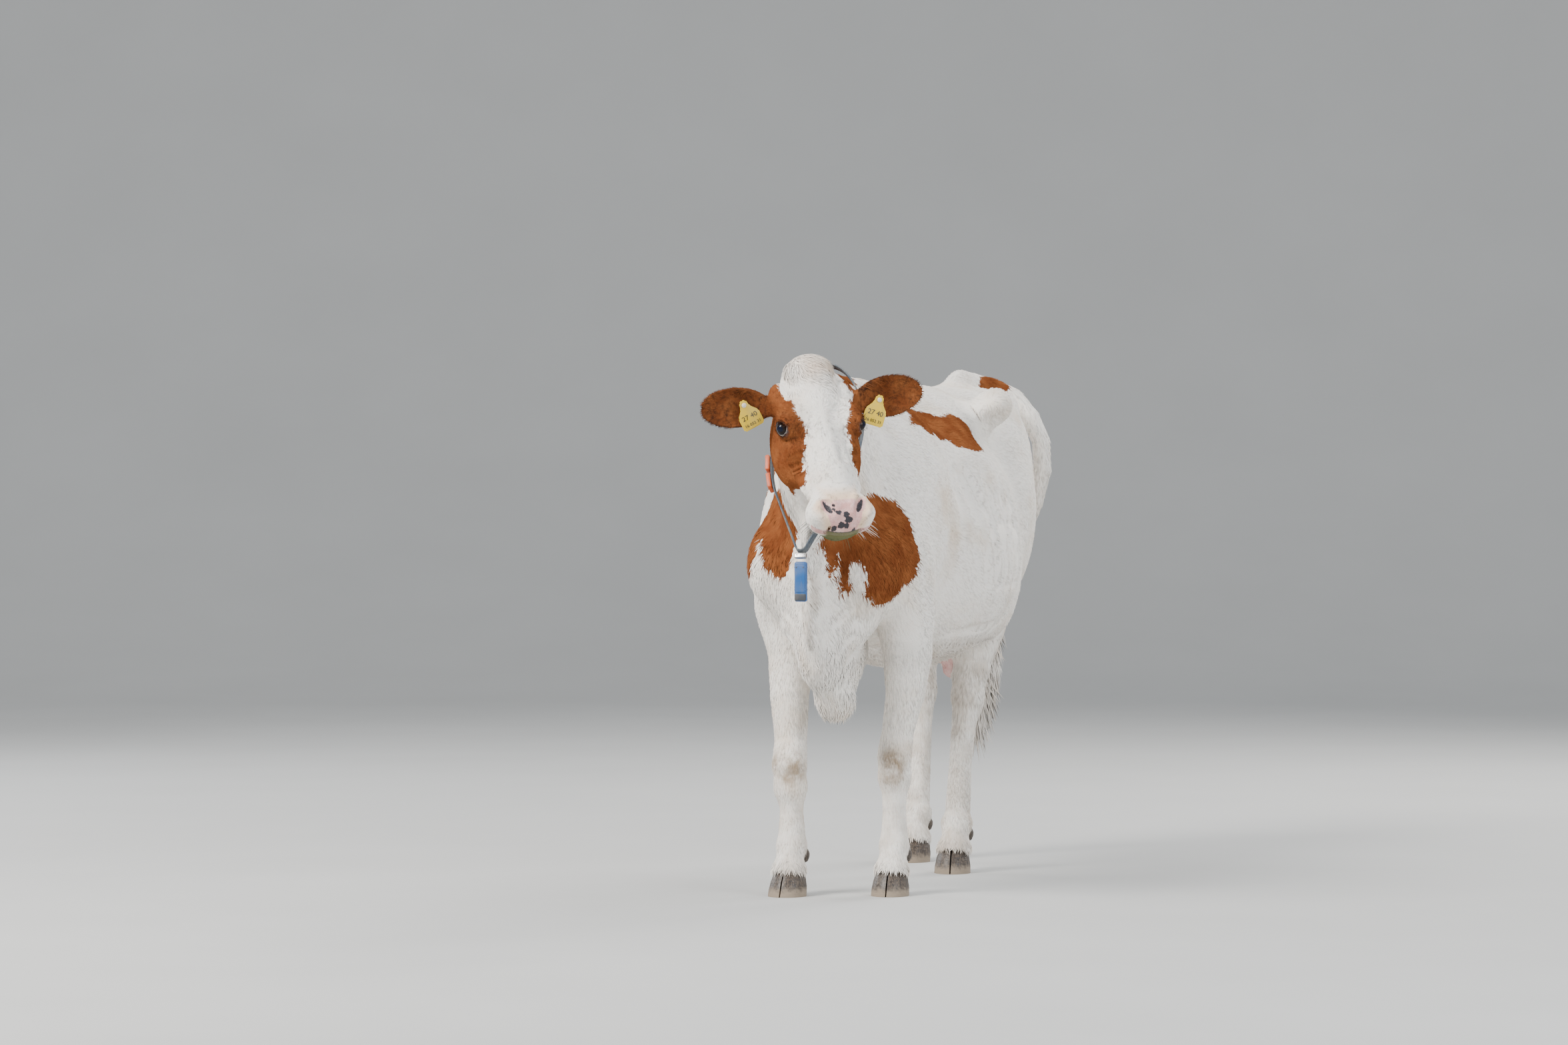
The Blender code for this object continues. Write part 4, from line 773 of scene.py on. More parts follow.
def dark_places(points):
    """Above zero where the colour is darkened: dark ear rims, ears darker along their upper half and towards
    the base, lids and a darker ring round each eye, painted shade inside the nostrils and along the mouth's
    line, and the muzzle's blotches.
    """
    field = np.full(len(points), -0.05)
    for ear in EARS.values():
        local = local_to(ear, points)
        x, y, z = local.T
        oval = np.sqrt(((x - EAR_LENGTH * 0.53) / (EAR_LENGTH * 0.47)) ** 2 + (y / EAR_HALF_WIDTH) ** 2)
        near = (ear_amount(points) > 0.3) & (oval < 1.3)
        # Besides the dark rim, each ear is darker towards its base and along its upper half.
        base = 0.008 * smoothstep(0.085, 0.045, x) * (z < 0.02) * smoothstep(-0.02, 0.02, y)
        rim = (oval - 0.93) * 0.05 + base + 0.0045 * smoothstep(-0.01, 0.04, y) - 0.0032
        field = np.where(near, np.maximum(field, np.clip(rim, -0.0014, 0.0006)), field)
    for eye in EYES.values():
        x, y, z = local_to(eye, points).T
        oval = np.hypot(x / DARK_LIDS[0], y / DARK_LIDS[1])
        lids = np.where(oval < 2.0, (1.0 - oval) * 0.014, -0.05)
        around = -0.0013 - 0.0017 * smoothstep(1.0, 3.4, oval)
        field = np.where(np.abs(z) < 0.05, np.maximum.reduce([field, lids, around]), field)
    local = local_to(HEAD, points)
    # Painted shade inside each nostril: the darkening reaches twice as deep as the carve.
    radii = (0.75 * NOSTRIL_RADII[0], 0.92 * NOSTRIL_RADII[1], 2.0 * NOSTRIL_RADII[2])
    field = np.maximum(field, nostril_field(local, radii, 1.0))
    # Painted shade along the mouth's line, over the crease that muzzle_forms carves.
    line = 0.0028 - np.abs(local[:, 2] - MOUTH_HEIGHT)
    at_mouth = (local[:, 1] < -0.44) & (np.abs(local[:, 0]) < 0.046) & (head_amount(points) > 0.5)
    field = np.where(at_mouth, np.maximum(field, line), field)
    down = down_the_pad(local)
    pad = (lengths_of(local - np.array(PAD_MIDDLE)) < 0.075) & (local[:, 2] > MOUTH_HEIGHT)
    for x, t, wide, high in PAD_BLOTCHES:
        oval = np.sqrt(((local[:, 0] - x) / wide) ** 2 + ((down - t) / high) ** 2)
        ragged = 0.0011 * waves(local, 0.009, 9)
        field = np.where(pad, np.maximum(field, (1.0 - oval) * min(wide, high) + ragged), field)
    return np.clip(field, -0.03, 0.03)


def bare_places(points):
    """Bare skin: the muzzle's pad, the nostrils, lids and teats."""
    field = muzzle_amount(points)
    local = local_to(HEAD, points)
    field = np.maximum(field, nostril_field(local, (0.013, 0.025, 0.030), 1.06))
    lips = 0.010 - np.abs(local[:, 2] - MOUTH_HEIGHT + 0.004)
    field = np.where((local[:, 1] < -0.455) & (head_amount(points) > 0.5), np.maximum(field, lips), field)
    for eye in EYES.values():
        x, y, z = local_to(eye, points).T
        oval = np.hypot(x / BARE_LIDS[0], y / BARE_LIDS[1])
        at_lids = (z > 0.0) & (z < 0.04) & (oval < 1.6)
        field = np.where(at_lids, np.maximum(field, (1.0 - oval) * 0.012), field)
    for x, y in TEATS:
        field = np.maximum(field, blob(points, (x * 1.1, y, 0.550), (0.024, 0.024, 0.045)))
    return np.clip(field, -0.03, 0.03)


def stains(points):
    """0 on clean hair up to about 1 where dust, mud or lying have tinted it."""
    low = 0.30 * smoothstep(0.55, 0.10, points[:, 2])
    knees = np.zeros(len(points))
    for x, y in ((0.139, 0.0), (-0.120, -0.060)):
        knee = blob(points, (x, y - 0.02, 0.330), (0.055, 0.050, 0.055))
        knees = np.maximum(knees, smoothstep(-0.02, 0.025, knee))
    keel = smoothstep(-0.02, 0.02, blob(points, (0.015, -0.330, 0.740), (0.020, 0.060, 0.110)))
    belly = 0.35 * smoothstep(0.68, 0.58, points[:, 2]) * (points[:, 1] > 0.1)
    hocks = 0.45 * smoothstep(0.14, 0.04, np.abs(points[:, 2] - 0.50)) * (points[:, 1] > 0.75)
    rump = 0.35 * smoothstep(1.12, 1.28, points[:, 1]) * smoothstep(1.15, 0.95, points[:, 2])
    amount = np.maximum.reduce([low, 0.9 * knees, 0.5 * keel, belly, hocks, rump])
    return np.where(head_amount(points) > 0.3, 0.0, amount)


def blush(points):
    """Peach-coloured hair round the muzzle and a tan tint on the poll: 0 to 1."""
    local = local_to(HEAD, points)
    x, y, z = local.T
    near = lengths_of(local - np.array(PAD_MIDDLE)) < 0.16
    round_pad = smoothstep(-0.036, -0.004, muzzle_amount(points)) * near
    wings = np.zeros(len(points))
    for side in (-1, 1):
        wing = np.array((side * (NOSTRIL_PLACE[0] + 0.012), NOSTRIL_PLACE[1], NOSTRIL_PLACE[2] - 0.01))
        wings = np.maximum(wings, smoothstep(0.038, 0.014, lengths_of(local - wing)))
    swirl = 0.5 + 0.5 * waves(local, 0.05, 14)
    poll = smoothstep(-0.075, -0.010, y) * smoothstep(-0.06, -0.01, z) * (np.abs(x) < 0.065) * swirl
    return np.clip(np.maximum(0.75 * np.maximum(round_pad, wings), 0.40 * poll), 0.0, 1.0)


def grass_stain(points):
    """The lower lip and chin, green from chewed grass: 0 to 1."""
    local = local_to(HEAD, points)
    near = lengths_of(local - np.array(LIP_MIDDLE)) < 0.10
    under = smoothstep(MOUTH_HEIGHT + 0.003, MOUTH_HEIGHT - 0.004, local[:, 2])
    ahead = smoothstep(-0.395, -0.430, local[:, 1]) * smoothstep(0.054, 0.036, np.abs(local[:, 0]))
    return 0.92 * under * ahead * near


# The painted fields: dark also holds painted shade in the nostrils and along the mouth's line.
MARKINGS_AND_SHADE = {"patch": rust_patches, "dark": dark_places, "stain": stains, "blush": blush,
            "green": grass_stain}


# ================ Blender helpers

def linked(name, mesh, material=None, smooth=True):
    obj = bpy.data.objects.new(name, mesh)
    bpy.context.scene.collection.objects.link(obj)
    if material:
        mesh.materials.append(material)
    if smooth:
        mesh.shade_smooth()
    return obj


def mesh_of(shape, name):
    mesh = bpy.data.meshes.new(name)
    shape.to_mesh(mesh)
    shape.free()
    return mesh


def baked(obj):
    """Applies the object's modifiers to its own mesh."""
    graph = bpy.context.evaluated_depsgraph_get()
    mesh = bpy.data.meshes.new_from_object(obj.evaluated_get(graph))
    obj.modifiers.clear()
    obj.data = mesh


def placed(obj, slot, *replaced):
    """A finished piece: it rides on the one body and stands for its solids, which it hides. The slot is not
    used.
    """
    obj.location = SHIFT
    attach(obj, "root")
    if replaced:
        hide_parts(*replaced)


def read_points(mesh):
    points = np.empty(len(mesh.vertices) * 3, dtype=np.float32)
    mesh.vertices.foreach_get("co", points)
    return points.reshape(-1, 3).astype(float)


def write_points(mesh, points):
    mesh.vertices.foreach_set("co", points.astype(np.float32).ravel())
    mesh.update()


def mesh_from_arrays(name, points, faces):
    """A mesh of triangles from numpy arrays."""
    mesh = bpy.data.meshes.new(name)
    mesh.vertices.add(len(points))
    mesh.vertices.foreach_set("co", points.astype(np.float32).ravel())
    mesh.loops.add(faces.size)
    mesh.loops.foreach_set("vertex_index", faces.astype(np.int32).ravel())
    mesh.polygons.add(len(faces))
    mesh.polygons.foreach_set("loop_start", np.arange(0, faces.size, 3, dtype=np.int32))
    mesh.update(calc_edges=True)
    return mesh


def set_float(mesh, name, values):
    layer = mesh.attributes.new(name, "FLOAT", "POINT")
    layer.data.foreach_set("value", np.asarray(values, dtype=np.float32))


def set_vector(mesh, name, values):
    layer = mesh.attributes.new(name, "FLOAT_VECTOR", "POINT")
    layer.data.foreach_set("vector", np.asarray(values, dtype=np.float32).ravel())


# ================ the skin in one piece

def add_primitives(shape, parts):
    """Spheres and cones in the place of every mass and limb, as a rough first body."""
    for item in parts:
        if item["carve"]:
            continue
        if item["kind"] == "mass":
            flip = -1.0 if item["place"].determinant() < 0.0 else 1.0
            scale = Matrix.Diagonal((flip * item["radii"][0], item["radii"][1], item["radii"][2], 1.0))
            bmesh.ops.create_icosphere(shape, subdivisions=4, radius=1.0, matrix=item["place"] @ scale)
            continue
        for joint in item["joints"]:
            place = Matrix.Translation(joint[:3])
            bmesh.ops.create_icosphere(shape, subdivisions=3, radius=joint[3], matrix=place)
        for start, end in zip(item["joints"][:-1], item["joints"][1:]):
            axis = Vector(end[:3]) - Vector(start[:3])
            middle = 0.5 * (Vector(end[:3]) + Vector(start[:3]))
            turn = axis.to_track_quat("Z", "Y").to_matrix().to_4x4()
            bmesh.ops.create_cone(shape, cap_ends=True, segments=24, radius1=start[3], radius2=end[3],
                                  depth=axis.length, matrix=Matrix.Translation(middle) @ turn)


def relaxed(obj, rounds, factor=0.5):
    relax = obj.modifiers.new("relax", "SMOOTH")
    relax.factor = factor
    relax.iterations = rounds
    baked(obj)


def rough_body(parts):
    shape = bmesh.new()
    add_primitives(shape, parts)
    body = linked("skin", mesh_of(shape, "rough"))
    remesh = body.modifiers.new("voxels", "REMESH")
    remesh.mode = "VOXEL"
    remesh.voxel_size = VOXEL
    baked(body)
    return body


def refine(obj, chosen, cuts):
    """Divides the faces whose corners are all chosen into smaller ones."""
    shape = bmesh.new()
    shape.from_mesh(obj.data)
    faces = [face for face in shape.faces if all(chosen[vertex.index] for vertex in face.verts)]
    edges = {edge for face in faces for edge in face.edges}
    bmesh.ops.subdivide_edges(shape, edges=list(edges), cuts=cuts, use_grid_fill=True)
    bmesh.ops.triangulate(shape, faces=[face for face in shape.faces if len(face.verts) > 4])
    shape.to_mesh(obj.data)
    shape.free()


def feature_amount(points):
    """1 round the eyes, nostrils and mouth, where the skin needs the finest faces."""
    amount = np.zeros(len(points))
    for eye in EYES.values():
        centre = np.array(eye.translation)
        amount = np.maximum(amount, lengths_of(points - centre) < 0.040)
    local = local_to(HEAD, points)
    muzzle = (local[:, 1] < -0.375) & (lengths_of(local - np.array((0, -0.45, -0.07))) < 0.13)
    return (amount + muzzle) > 0


def clip_at_coronets(points):
    """Ends the skin at the sloping tops of the claws."""
    slope = radians(CORONET_SLOPE)
    normal = np.array((0, sin(slope), cos(slope)))
    for feet in (FORE_FEET, HIND_FEET):
        for x, y, _ in feet.values():
            middle = np.array((x, y - 0.060, CORONET_FRONT - 0.002))
            near = np.hypot(points[:, 0] - x, points[:, 1] - y + 0.02) < 0.11
            below = (points - middle) @ normal
            low = near & (below < 0)
            points[low] -= below[low, None] * normal
    return points


def make_skin():
    """Lays a fine mesh under the joined form, finest on the face, and carves its folds and lids."""
    parts = whole_body()
    body = rough_body(parts)
    for rounds in (8, 3):
        write_points(body.data, settled(read_points(body.data), parts))
        relaxed(body, rounds)
    points = read_points(body.data)
    refine(body, (head_amount(points) > 0.5) | (ear_amount(points) > 0.5), HEAD_CUTS)
    refine(body, feature_amount(read_points(body.data)), 1)
    parts = parts + body_folds() + fine_forms()
    write_points(body.data, settled(read_points(body.data), parts, rounds=3))
    relaxed(body, 1, 0.35)
    points = settled(read_points(body.data), parts, rounds=1)
    write_points(body.data, clip_at_coronets(points))
    shape = bmesh.new()
    shape.from_mesh(body.data)
    bmesh.ops.triangulate(shape, faces=shape.faces)
    shape.to_mesh(body.data)
    shape.free()
    unwrap(body)
    paint(body.data, read_points(body.data))
    return body


def unwrap(obj):
    """An unwrap of the skin's own shape, on which every tuft also finds its place."""
    bpy.context.view_layer.objects.active = obj
    obj.select_set(True)
    obj.data.uv_layers.new(name="OFBake")
    bpy.ops.object.mode_set(mode="EDIT")
    bpy.ops.mesh.select_all(action="SELECT")
    bpy.ops.uv.smart_project(angle_limit=1.15, island_margin=0.002, scale_to_bounds=True)
    bpy.ops.object.mode_set(mode="OBJECT")
    obj.select_set(False)


def paint(mesh, roots):
    """Stores the markings and painted shade at each point's root, and coordinates that run along the hair."""
    for name, measure in MARKINGS_AND_SHADE.items():
        set_float(mesh, name, measure(roots))
    set_float(mesh, "bare", bare_places(roots))
    set_vector(mesh, "root", roots)
    set_vector(mesh, "comb", combed(roots))


def combed(points):
    """Coordinates whose third axis runs along the hair: y on the body, z on the legs, the head's own y."""
    head = head_amount(points)[:, None]
    leg = smoothstep(0.66, 0.56, points[:, 2])[:, None]
    tail = smoothstep(1.28, 1.32, points[:, 1])[:, None]
    down = np.maximum(leg, tail)
    x, y, z = points.T
    body = columns(x, z + 0.35 * y, y - 0.35 * z)
    face = local_to(HEAD, points)[:, (0, 2, 1)]
    return (body * (1 - down) + points * down) * (1 - head) + face * head


# ================ the lie of the coat

def unit(vectors):
    return vectors / np.maximum(lengths_of(vectors), 1e-9)[:, None]


def hair_lie(points, normals):
    """The way the hair points: back and down on the body, down the legs and tail, out along the ears."""
    down = smoothstep(0.70, 0.55, points[:, 2])
    tail = smoothstep(1.27, 1.31, points[:, 1])
    steep = 0.45 + 3.5 * np.maximum(down * (np.abs(normals[:, 2]) < 0.8), tail)
    steep = steep + 0.9 * smoothstep(0.05, -0.20, points[:, 1])
    way = columns(0.12 * np.sign(points[:, 0]), 1.0, -steep)
    local = local_to(HEAD, points)
    turn = np.array(HEAD)[:3, :3]
    facing = normals @ turn
    above = smoothstep(0.25, 0.70, facing[:, 2])
    whorl = np.clip((local[:, 1] + 0.165) / 0.04, -1.0, 1.0)
    side = np.sign(local[:, 0]) * (0.25 + 0.5 * (1.0 - np.abs(whorl)))
    brow = columns(side, whorl, -0.1)
    cheek = np.array((0.0, 0.85, -0.60))
    on_head = (brow * above[:, None] + cheek * (1.0 - above)[:, None]) @ turn.T
    head = head_amount(points)[:, None]
    way = way * (1.0 - head) + on_head * head
    ears = ear_amount(points)
    for ear in EARS.values():
        place = local_to(ear, points)
        near = (ears > 0.05) & in_ear_box(place)
        out = columns(1.0, place[:, 1] * 9.0, 0.0) @ np.array(ear)[:3, :3].T
        way = np.where(near[:, None], way * (1 - ears[:, None]) + out * ears[:, None], way)
    way = way - normals * (way * normals).sum(axis=1)[:, None]
    return unit(way)


def hair_length(points):
    """Length of a tuft in metres: longest on neck and brisket, shortest on the muzzle and feet."""
    length = np.full(len(points), 0.0165)
    length += 0.006 * smoothstep(0.10, -0.25, points[:, 1])
    length += 0.004 * smoothstep(0.66, 0.58, points[:, 2]) * (points[:, 1] > 0.1)
    length = length * (1.0 - 0.35 * smoothstep(0.55, 0.30, points[:, 2]))
    local = local_to(HEAD, points)
    face = 0.0105 - 0.0055 * smoothstep(-0.22, -0.40, local[:, 1])
    head = head_amount(points)
    length = length * (1.0 - head) + face * head
    return length * (1.0 - 0.15 * ear_amount(points))


def near_tag(points, margin):
    """True close to the plates that hang in front of the ears."""
    near = np.zeros(len(points), dtype=bool)
    for side in EARS:
        low, high = node_box("ear_tag_" + side)
        near |= ((points > low - margin) & (points < high + margin)).all(axis=1)
    return near


def hair_share(points, normals):
    """How thick the tufts stand: nothing on bare skin or under the claws' tops."""
    share = 1.0 + 1.9 * head_amount(points) + 0.7 * smoothstep(0.50, 0.25, points[:, 2])
    local = local_to(HEAD, points)
    share += 2.2 * head_amount(points) * smoothstep(-0.24, -0.38, local[:, 1])
    bare = bare_places(points)
    share = share * (bare < 0.001)
    cap = (points[:, 2] < 0.075) & (normals[:, 2] < -0.6)
    return share * ~cap * ~near_tag(points, 0.004)


# ================ tufts

def triangle_table(obj):
    """Corners, normals, areas and unwrap of the skin's triangles."""
    mesh = obj.data
    points = read_points(mesh)
    count = len(mesh.polygons)
    corners = np.empty(count * 3, dtype=np.int32)
    mesh.loops.foreach_get("vertex_index", corners)
    corners = corners.reshape(-1, 3)
    normals = np.empty(len(points) * 3, dtype=np.float32)
    mesh.vertices.foreach_get("normal", normals)
    normals = normals.reshape(-1, 3).astype(float)
    places = np.empty(count * 6, dtype=np.float32)
    mesh.uv_layers["OFBake"].uv.foreach_get("vector", places)
    places = places.reshape(-1, 3, 2).astype(float)
    a, b, c = (points[corners[:, index]] for index in range(3))
    areas = 0.5 * lengths_of(np.cross(b - a, c - a))
    return {"points": points, "corners": corners, "normals": normals, "places": places, "areas": areas,
            "middles": (a + b + c) / 3.0}


def scattered(table, amount, rng):
    """Roots spread over the skin, amount (a number for each triangle) to the square metre."""
    expected = table["areas"] * amount
    counts = np.floor(expected + rng.random(len(expected))).astype(int)
    chosen = np.repeat(np.arange(len(counts)), counts)
    first, second = rng.random((2, len(chosen)))
    over = first + second > 1.0
    first[over], second[over] = 1.0 - first[over], 1.0 - second[over]
    shares = np.stack([1.0 - first - second, first, second], axis=1)[:, :, None]
    corners = table["corners"][chosen]
    roots = (table["points"][corners] * shares).sum(axis=1)
    normals = unit((table["normals"][corners] * shares).sum(axis=1))
    places = (table["places"][chosen] * shares).sum(axis=1)
    return roots, normals, places


def places_near(table, roots):
    """The unwrap's place nearest each root."""
    nearest = [int(np.argmin(((table["middles"] - root) ** 2).sum(axis=1))) for root in roots]
    return table["places"][nearest].mean(axis=1)


def spread(ways, normals, angle, rng):
    """Turns each way about its normal by a random angle."""
    turn = rng.normal(0.0, angle, len(ways))[:, None]
    return unit(ways * np.cos(turn) + np.cross(normals, ways) * np.sin(turn))


def tuft_arrays(roots, normals, ways, lengths, widths, lifts):
    """Thin closed tufts that lie along the coat: two root corners, a ridge and a tip each."""
    side = np.cross(normals, ways) * (widths * 0.5)[:, None]
    base = roots - normals * 0.0006
    ridge = roots + ways * (lengths * 0.38)[:, None] + normals * (lifts * 0.85)[:, None]
    tip = roots + ways * lengths[:, None] + normals * lifts[:, None]
    points = np.stack([base + side, base - side, ridge, tip], axis=1).reshape(-1, 3)
    pattern = np.array([(0, 2, 3), (2, 1, 3), (0, 1, 2), (0, 3, 1)])
    faces = (np.arange(len(roots))[:, None, None] * 4 + pattern).reshape(-1, 3)
    along = np.tile((0.0, 0.0, 0.45, 1.0), len(roots))
    offsets = np.tile(np.array([(-0.5, -0.4), (0.5, -0.4), (0.0, 0.0), (0.0, 0.6)]), (len(roots), 1))
    return points, faces, along, offsets, np.repeat(normals, 4, axis=0)


def lock_arrays(roots, normals, ways, lengths, widths, lifts, droop, segments=3):
    """Longer closed locks of several lengths, bending over by droop towards the ground."""
    count = len(roots)
    side = np.cross(normals, ways)
    rings = []
    for index in range(segments + 1):
        share = index / segments
        fall = np.array((0.0, 0.0, -1.0)) * (droop * lengths * share ** 2)[:, None]
        middle = roots + ways * (lengths * share)[:, None] + fall
        middle = middle + normals * (lifts * np.sin(pi * 0.5 * share) - 0.0008 * (index == 0))[:, None]
        width = (widths * 0.5 * (1.0 - share ** 1.6) + 0.0001)[:, None]
        if index == segments:
            rings.append(middle[:, None, :])
            continue
        corners = [middle + side * width, middle - side * width, middle + normals * width * 0.55]
        rings.append(np.stack(corners, axis=1))
    points = np.concatenate(rings, axis=1)
    size = points.shape[1]
    pattern = [(2, 1, 0)]
    for index in range(segments - 1):
        low, high = 3 * index, 3 * index + 3
        for first, second in ((0, 2), (2, 1), (1, 0)):
            pattern.append((low + first, low + second, high + second))
            pattern.append((low + first, high + second, high + first))
    last, tip = 3 * (segments - 1), size - 1
    pattern += [(last + 0, last + 2, tip), (last + 2, last + 1, tip), (last + 1, last + 0, tip)]
    faces = (np.arange(count)[:, None, None] * size + np.array(pattern)).reshape(-1, 3)
    shares = [index // 3 / segments for index in range(size - 1)] + [1.0]
    along = np.tile(shares, count)
    offsets = [((index % 3 - 1) * 0.4, share - 0.5) for index, share in enumerate(shares)]
    offsets = np.tile(np.array(offsets), (count, 1))
    return points.reshape(-1, 3), faces, along, offsets, np.repeat(normals, size, axis=0)


def coat_piece(name, arrays, roots, places, material, rng):
    """One joined mesh of tufts, painted, shaded and unwrapped at their roots' places."""
    points, faces, along, offsets, shading = arrays
    size = len(points) // max(len(roots), 1)
    mesh = mesh_from_arrays(name, points, faces)
    for key, measure in MARKINGS_AND_SHADE.items():
        set_float(mesh, key, np.repeat(measure(roots), size))
    set_vector(mesh, "root", np.repeat(roots, size, axis=0))
    set_vector(mesh, "custom_normal", shading)
    set_float(mesh, "along", along)
    set_float(mesh, "vary", np.repeat(rng.random(len(roots)), size))
    layer = mesh.uv_layers.new(name="OFBake")
    spots = np.clip(np.repeat(places, size, axis=0), 0.002, 0.998) + offsets * TUFT_PATCH
    layer.uv.foreach_set("vector", spots[faces.ravel()].astype(np.float32).ravel())
    placed(linked(name, mesh, material), "hide")


def region_of(points):
    """A number for each part of the coat, so that each becomes a piece of its own."""
    head = head_amount(points) > 0.5
    leg = points[:, 2] < 0.60
    fore = points[:, 1] < 0.30
    left = points[:, 0] > 0.0
    region = np.where(fore, 0, 2) + np.where(left, 0, 1)
    region = np.where(leg, np.where(fore, 4, 5), region)
    return np.where(head, np.where(left, 6, 7), region)


def make_coat(skin, material):
    """Short tufts all over, in joined pieces by region."""
    rng = np.random.default_rng(SEED)
    table = triangle_table(skin)
    middles = table["middles"]
    face_normals = unit(table["normals"][table["corners"]].sum(axis=1))
    amount = TUFTS_PER_AREA * TUFT_SHARE * hair_share(middles, face_normals)
    roots, normals, places = scattered(table, amount, rng)
    ways = spread(hair_lie(roots, normals), normals, 0.16, rng)
    lengths = hair_length(roots) * rng.uniform(0.7, 1.25, len(roots))
    widths = lengths * rng.uniform(0.11, 0.17, len(roots))
    rough = 1.0 + 0.4 * waves(roots, 0.11, 12)
    lifts = np.minimum(lengths * rng.uniform(0.03, 0.10, len(roots)) * rough, 0.0028)
    regions = region_of(roots)
    for number, label in enumerate(REGION_NAMES):
        chosen = np.flatnonzero(regions == number)
        for part, start in enumerate(range(0, len(chosen), PIECE_LIMIT // 4)):
            some = chosen[start:start + PIECE_LIMIT // 4]
            chosen_tufts = (values[some] for values in (roots, normals, ways, lengths, widths, lifts))
            arrays = tuft_arrays(*chosen_tufts)
            coat_piece(f"coat_{label}_{part}", arrays, roots[some], places[some], material, rng)
    return table


def locks_where(kind, table, weight, material, bend=hair_lie):
    """A piece of longer locks on the triangles where weight is above zero, lying the way bend gives."""
    per_area, length, width, lift, droop, turn, seed = LOCKS[kind]
    rng = np.random.default_rng(seed)
    roots, normals, places = scattered(table, per_area * weight * max(TUFT_SHARE, 0.5), rng)
    ways = spread(bend(roots, normals), normals, turn, rng)
    lengths = length * rng.uniform(0.65, 1.2, len(roots))
    widths = width * rng.uniform(0.7, 1.3, len(roots))
    lifts = lift * rng.uniform(0.4, 1.2, len(roots))
    arrays = lock_arrays(roots, normals, ways, lengths, widths, lifts, droop)
    coat_piece("hair_" + kind, arrays, roots, places, material, rng)


# ================ shader building blocks

def new_material(name):
    material = bpy.data.materials.new(name)
    material.use_nodes = True
    tree = material.node_tree
    return material, tree, tree.nodes["Principled BSDF"]


def feed(socket, value):
    """Links an output to a socket, or sets the socket's own value."""
    if isinstance(value, bpy.types.NodeSocket):
        socket.id_data.links.new(value, socket)
    elif isinstance(value, tuple) and len(value) == 3 and socket.type == "RGBA":
        socket.default_value = (*value, 1.0)
    else:
        socket.default_value = value


def attribute(tree, name, output="Fac"):
    node = tree.nodes.new("ShaderNodeAttribute")
    node.attribute_name = name
    return node.outputs[output]


def object_place(tree):
    return tree.nodes.new("ShaderNodeTexCoord").outputs["Object"]


def parted(vector):
    node = vector.id_data.nodes.new("ShaderNodeSeparateXYZ")
    feed(node.inputs[0], vector)
    return node.outputs[0], node.outputs[1], node.outputs[2]


def stretched(vector, scale):
    node = vector.id_data.nodes.new("ShaderNodeVectorMath")
    node.operation = "MULTIPLY"
    feed(node.inputs[0], vector)
    node.inputs[1].default_value = scale
    return node.outputs[0]


def noise(vector, scale, detail=3.0, roughness=0.55):
    node = vector.id_data.nodes.new("ShaderNodeTexNoise")
    feed(node.inputs["Vector"], vector)
    feed(node.inputs["Scale"], scale)
    feed(node.inputs["Detail"], detail)
    feed(node.inputs["Roughness"], roughness)
    return node.outputs["Fac"]


def cells(vector, scale, feature="F1"):
    node = vector.id_data.nodes.new("ShaderNodeTexVoronoi")
    node.feature = feature
    feed(node.inputs["Vector"], vector)
    feed(node.inputs["Scale"], scale)
    return node.outputs["Distance"]


def maths(operation, first, second=0.0):
    socket = first if isinstance(first, bpy.types.NodeSocket) else second
    node = socket.id_data.nodes.new("ShaderNodeMath")
    node.operation = operation
    feed(node.inputs[0], first)
    feed(node.inputs[1], second)
    return node.outputs[0]


def plus(first, second):
    return maths("ADD", first, second)


def times(first, second):
    return maths("MULTIPLY", first, second)


def between(value, low, high):
    """0 below low, 1 above high, smooth between."""
    node = value.id_data.nodes.new("ShaderNodeMapRange")
    node.interpolation_type = "SMOOTHSTEP"
    feed(node.inputs["Value"], value)
    feed(node.inputs["From Min"], low)
    feed(node.inputs["From Max"], high)
    return node.outputs["Result"]


def mixed(share, first, second):
    node = share.id_data.nodes.new("ShaderNodeMix")
    node.data_type = "RGBA"
    feed(node.inputs[0], share)
    feed(node.inputs[6], first)
    feed(node.inputs[7], second)
    return node.outputs[2]


def ranged(share, low, high):
    """A number that runs from low to high as share runs from 0 to 1."""
    node = share.id_data.nodes.new("ShaderNodeMapRange")
    feed(node.inputs["Value"], share)
    feed(node.inputs["To Min"], low)
    feed(node.inputs["To Max"], high)
    return node.outputs["Result"]


def finish(shader, colour, roughness):
    feed(shader.inputs["Base Color"], colour)
    feed(shader.inputs["Roughness"], roughness)


def bumped(shader, height, distance, strength=1.0):
    node = shader.id_data.nodes.new("ShaderNodeBump")
    feed(node.inputs["Strength"], strength)
    feed(node.inputs["Distance"], distance)
    feed(node.inputs["Height"], height)
    shader.id_data.links.new(node.outputs["Normal"], shader.inputs["Normal"])


# ================ hide and hair

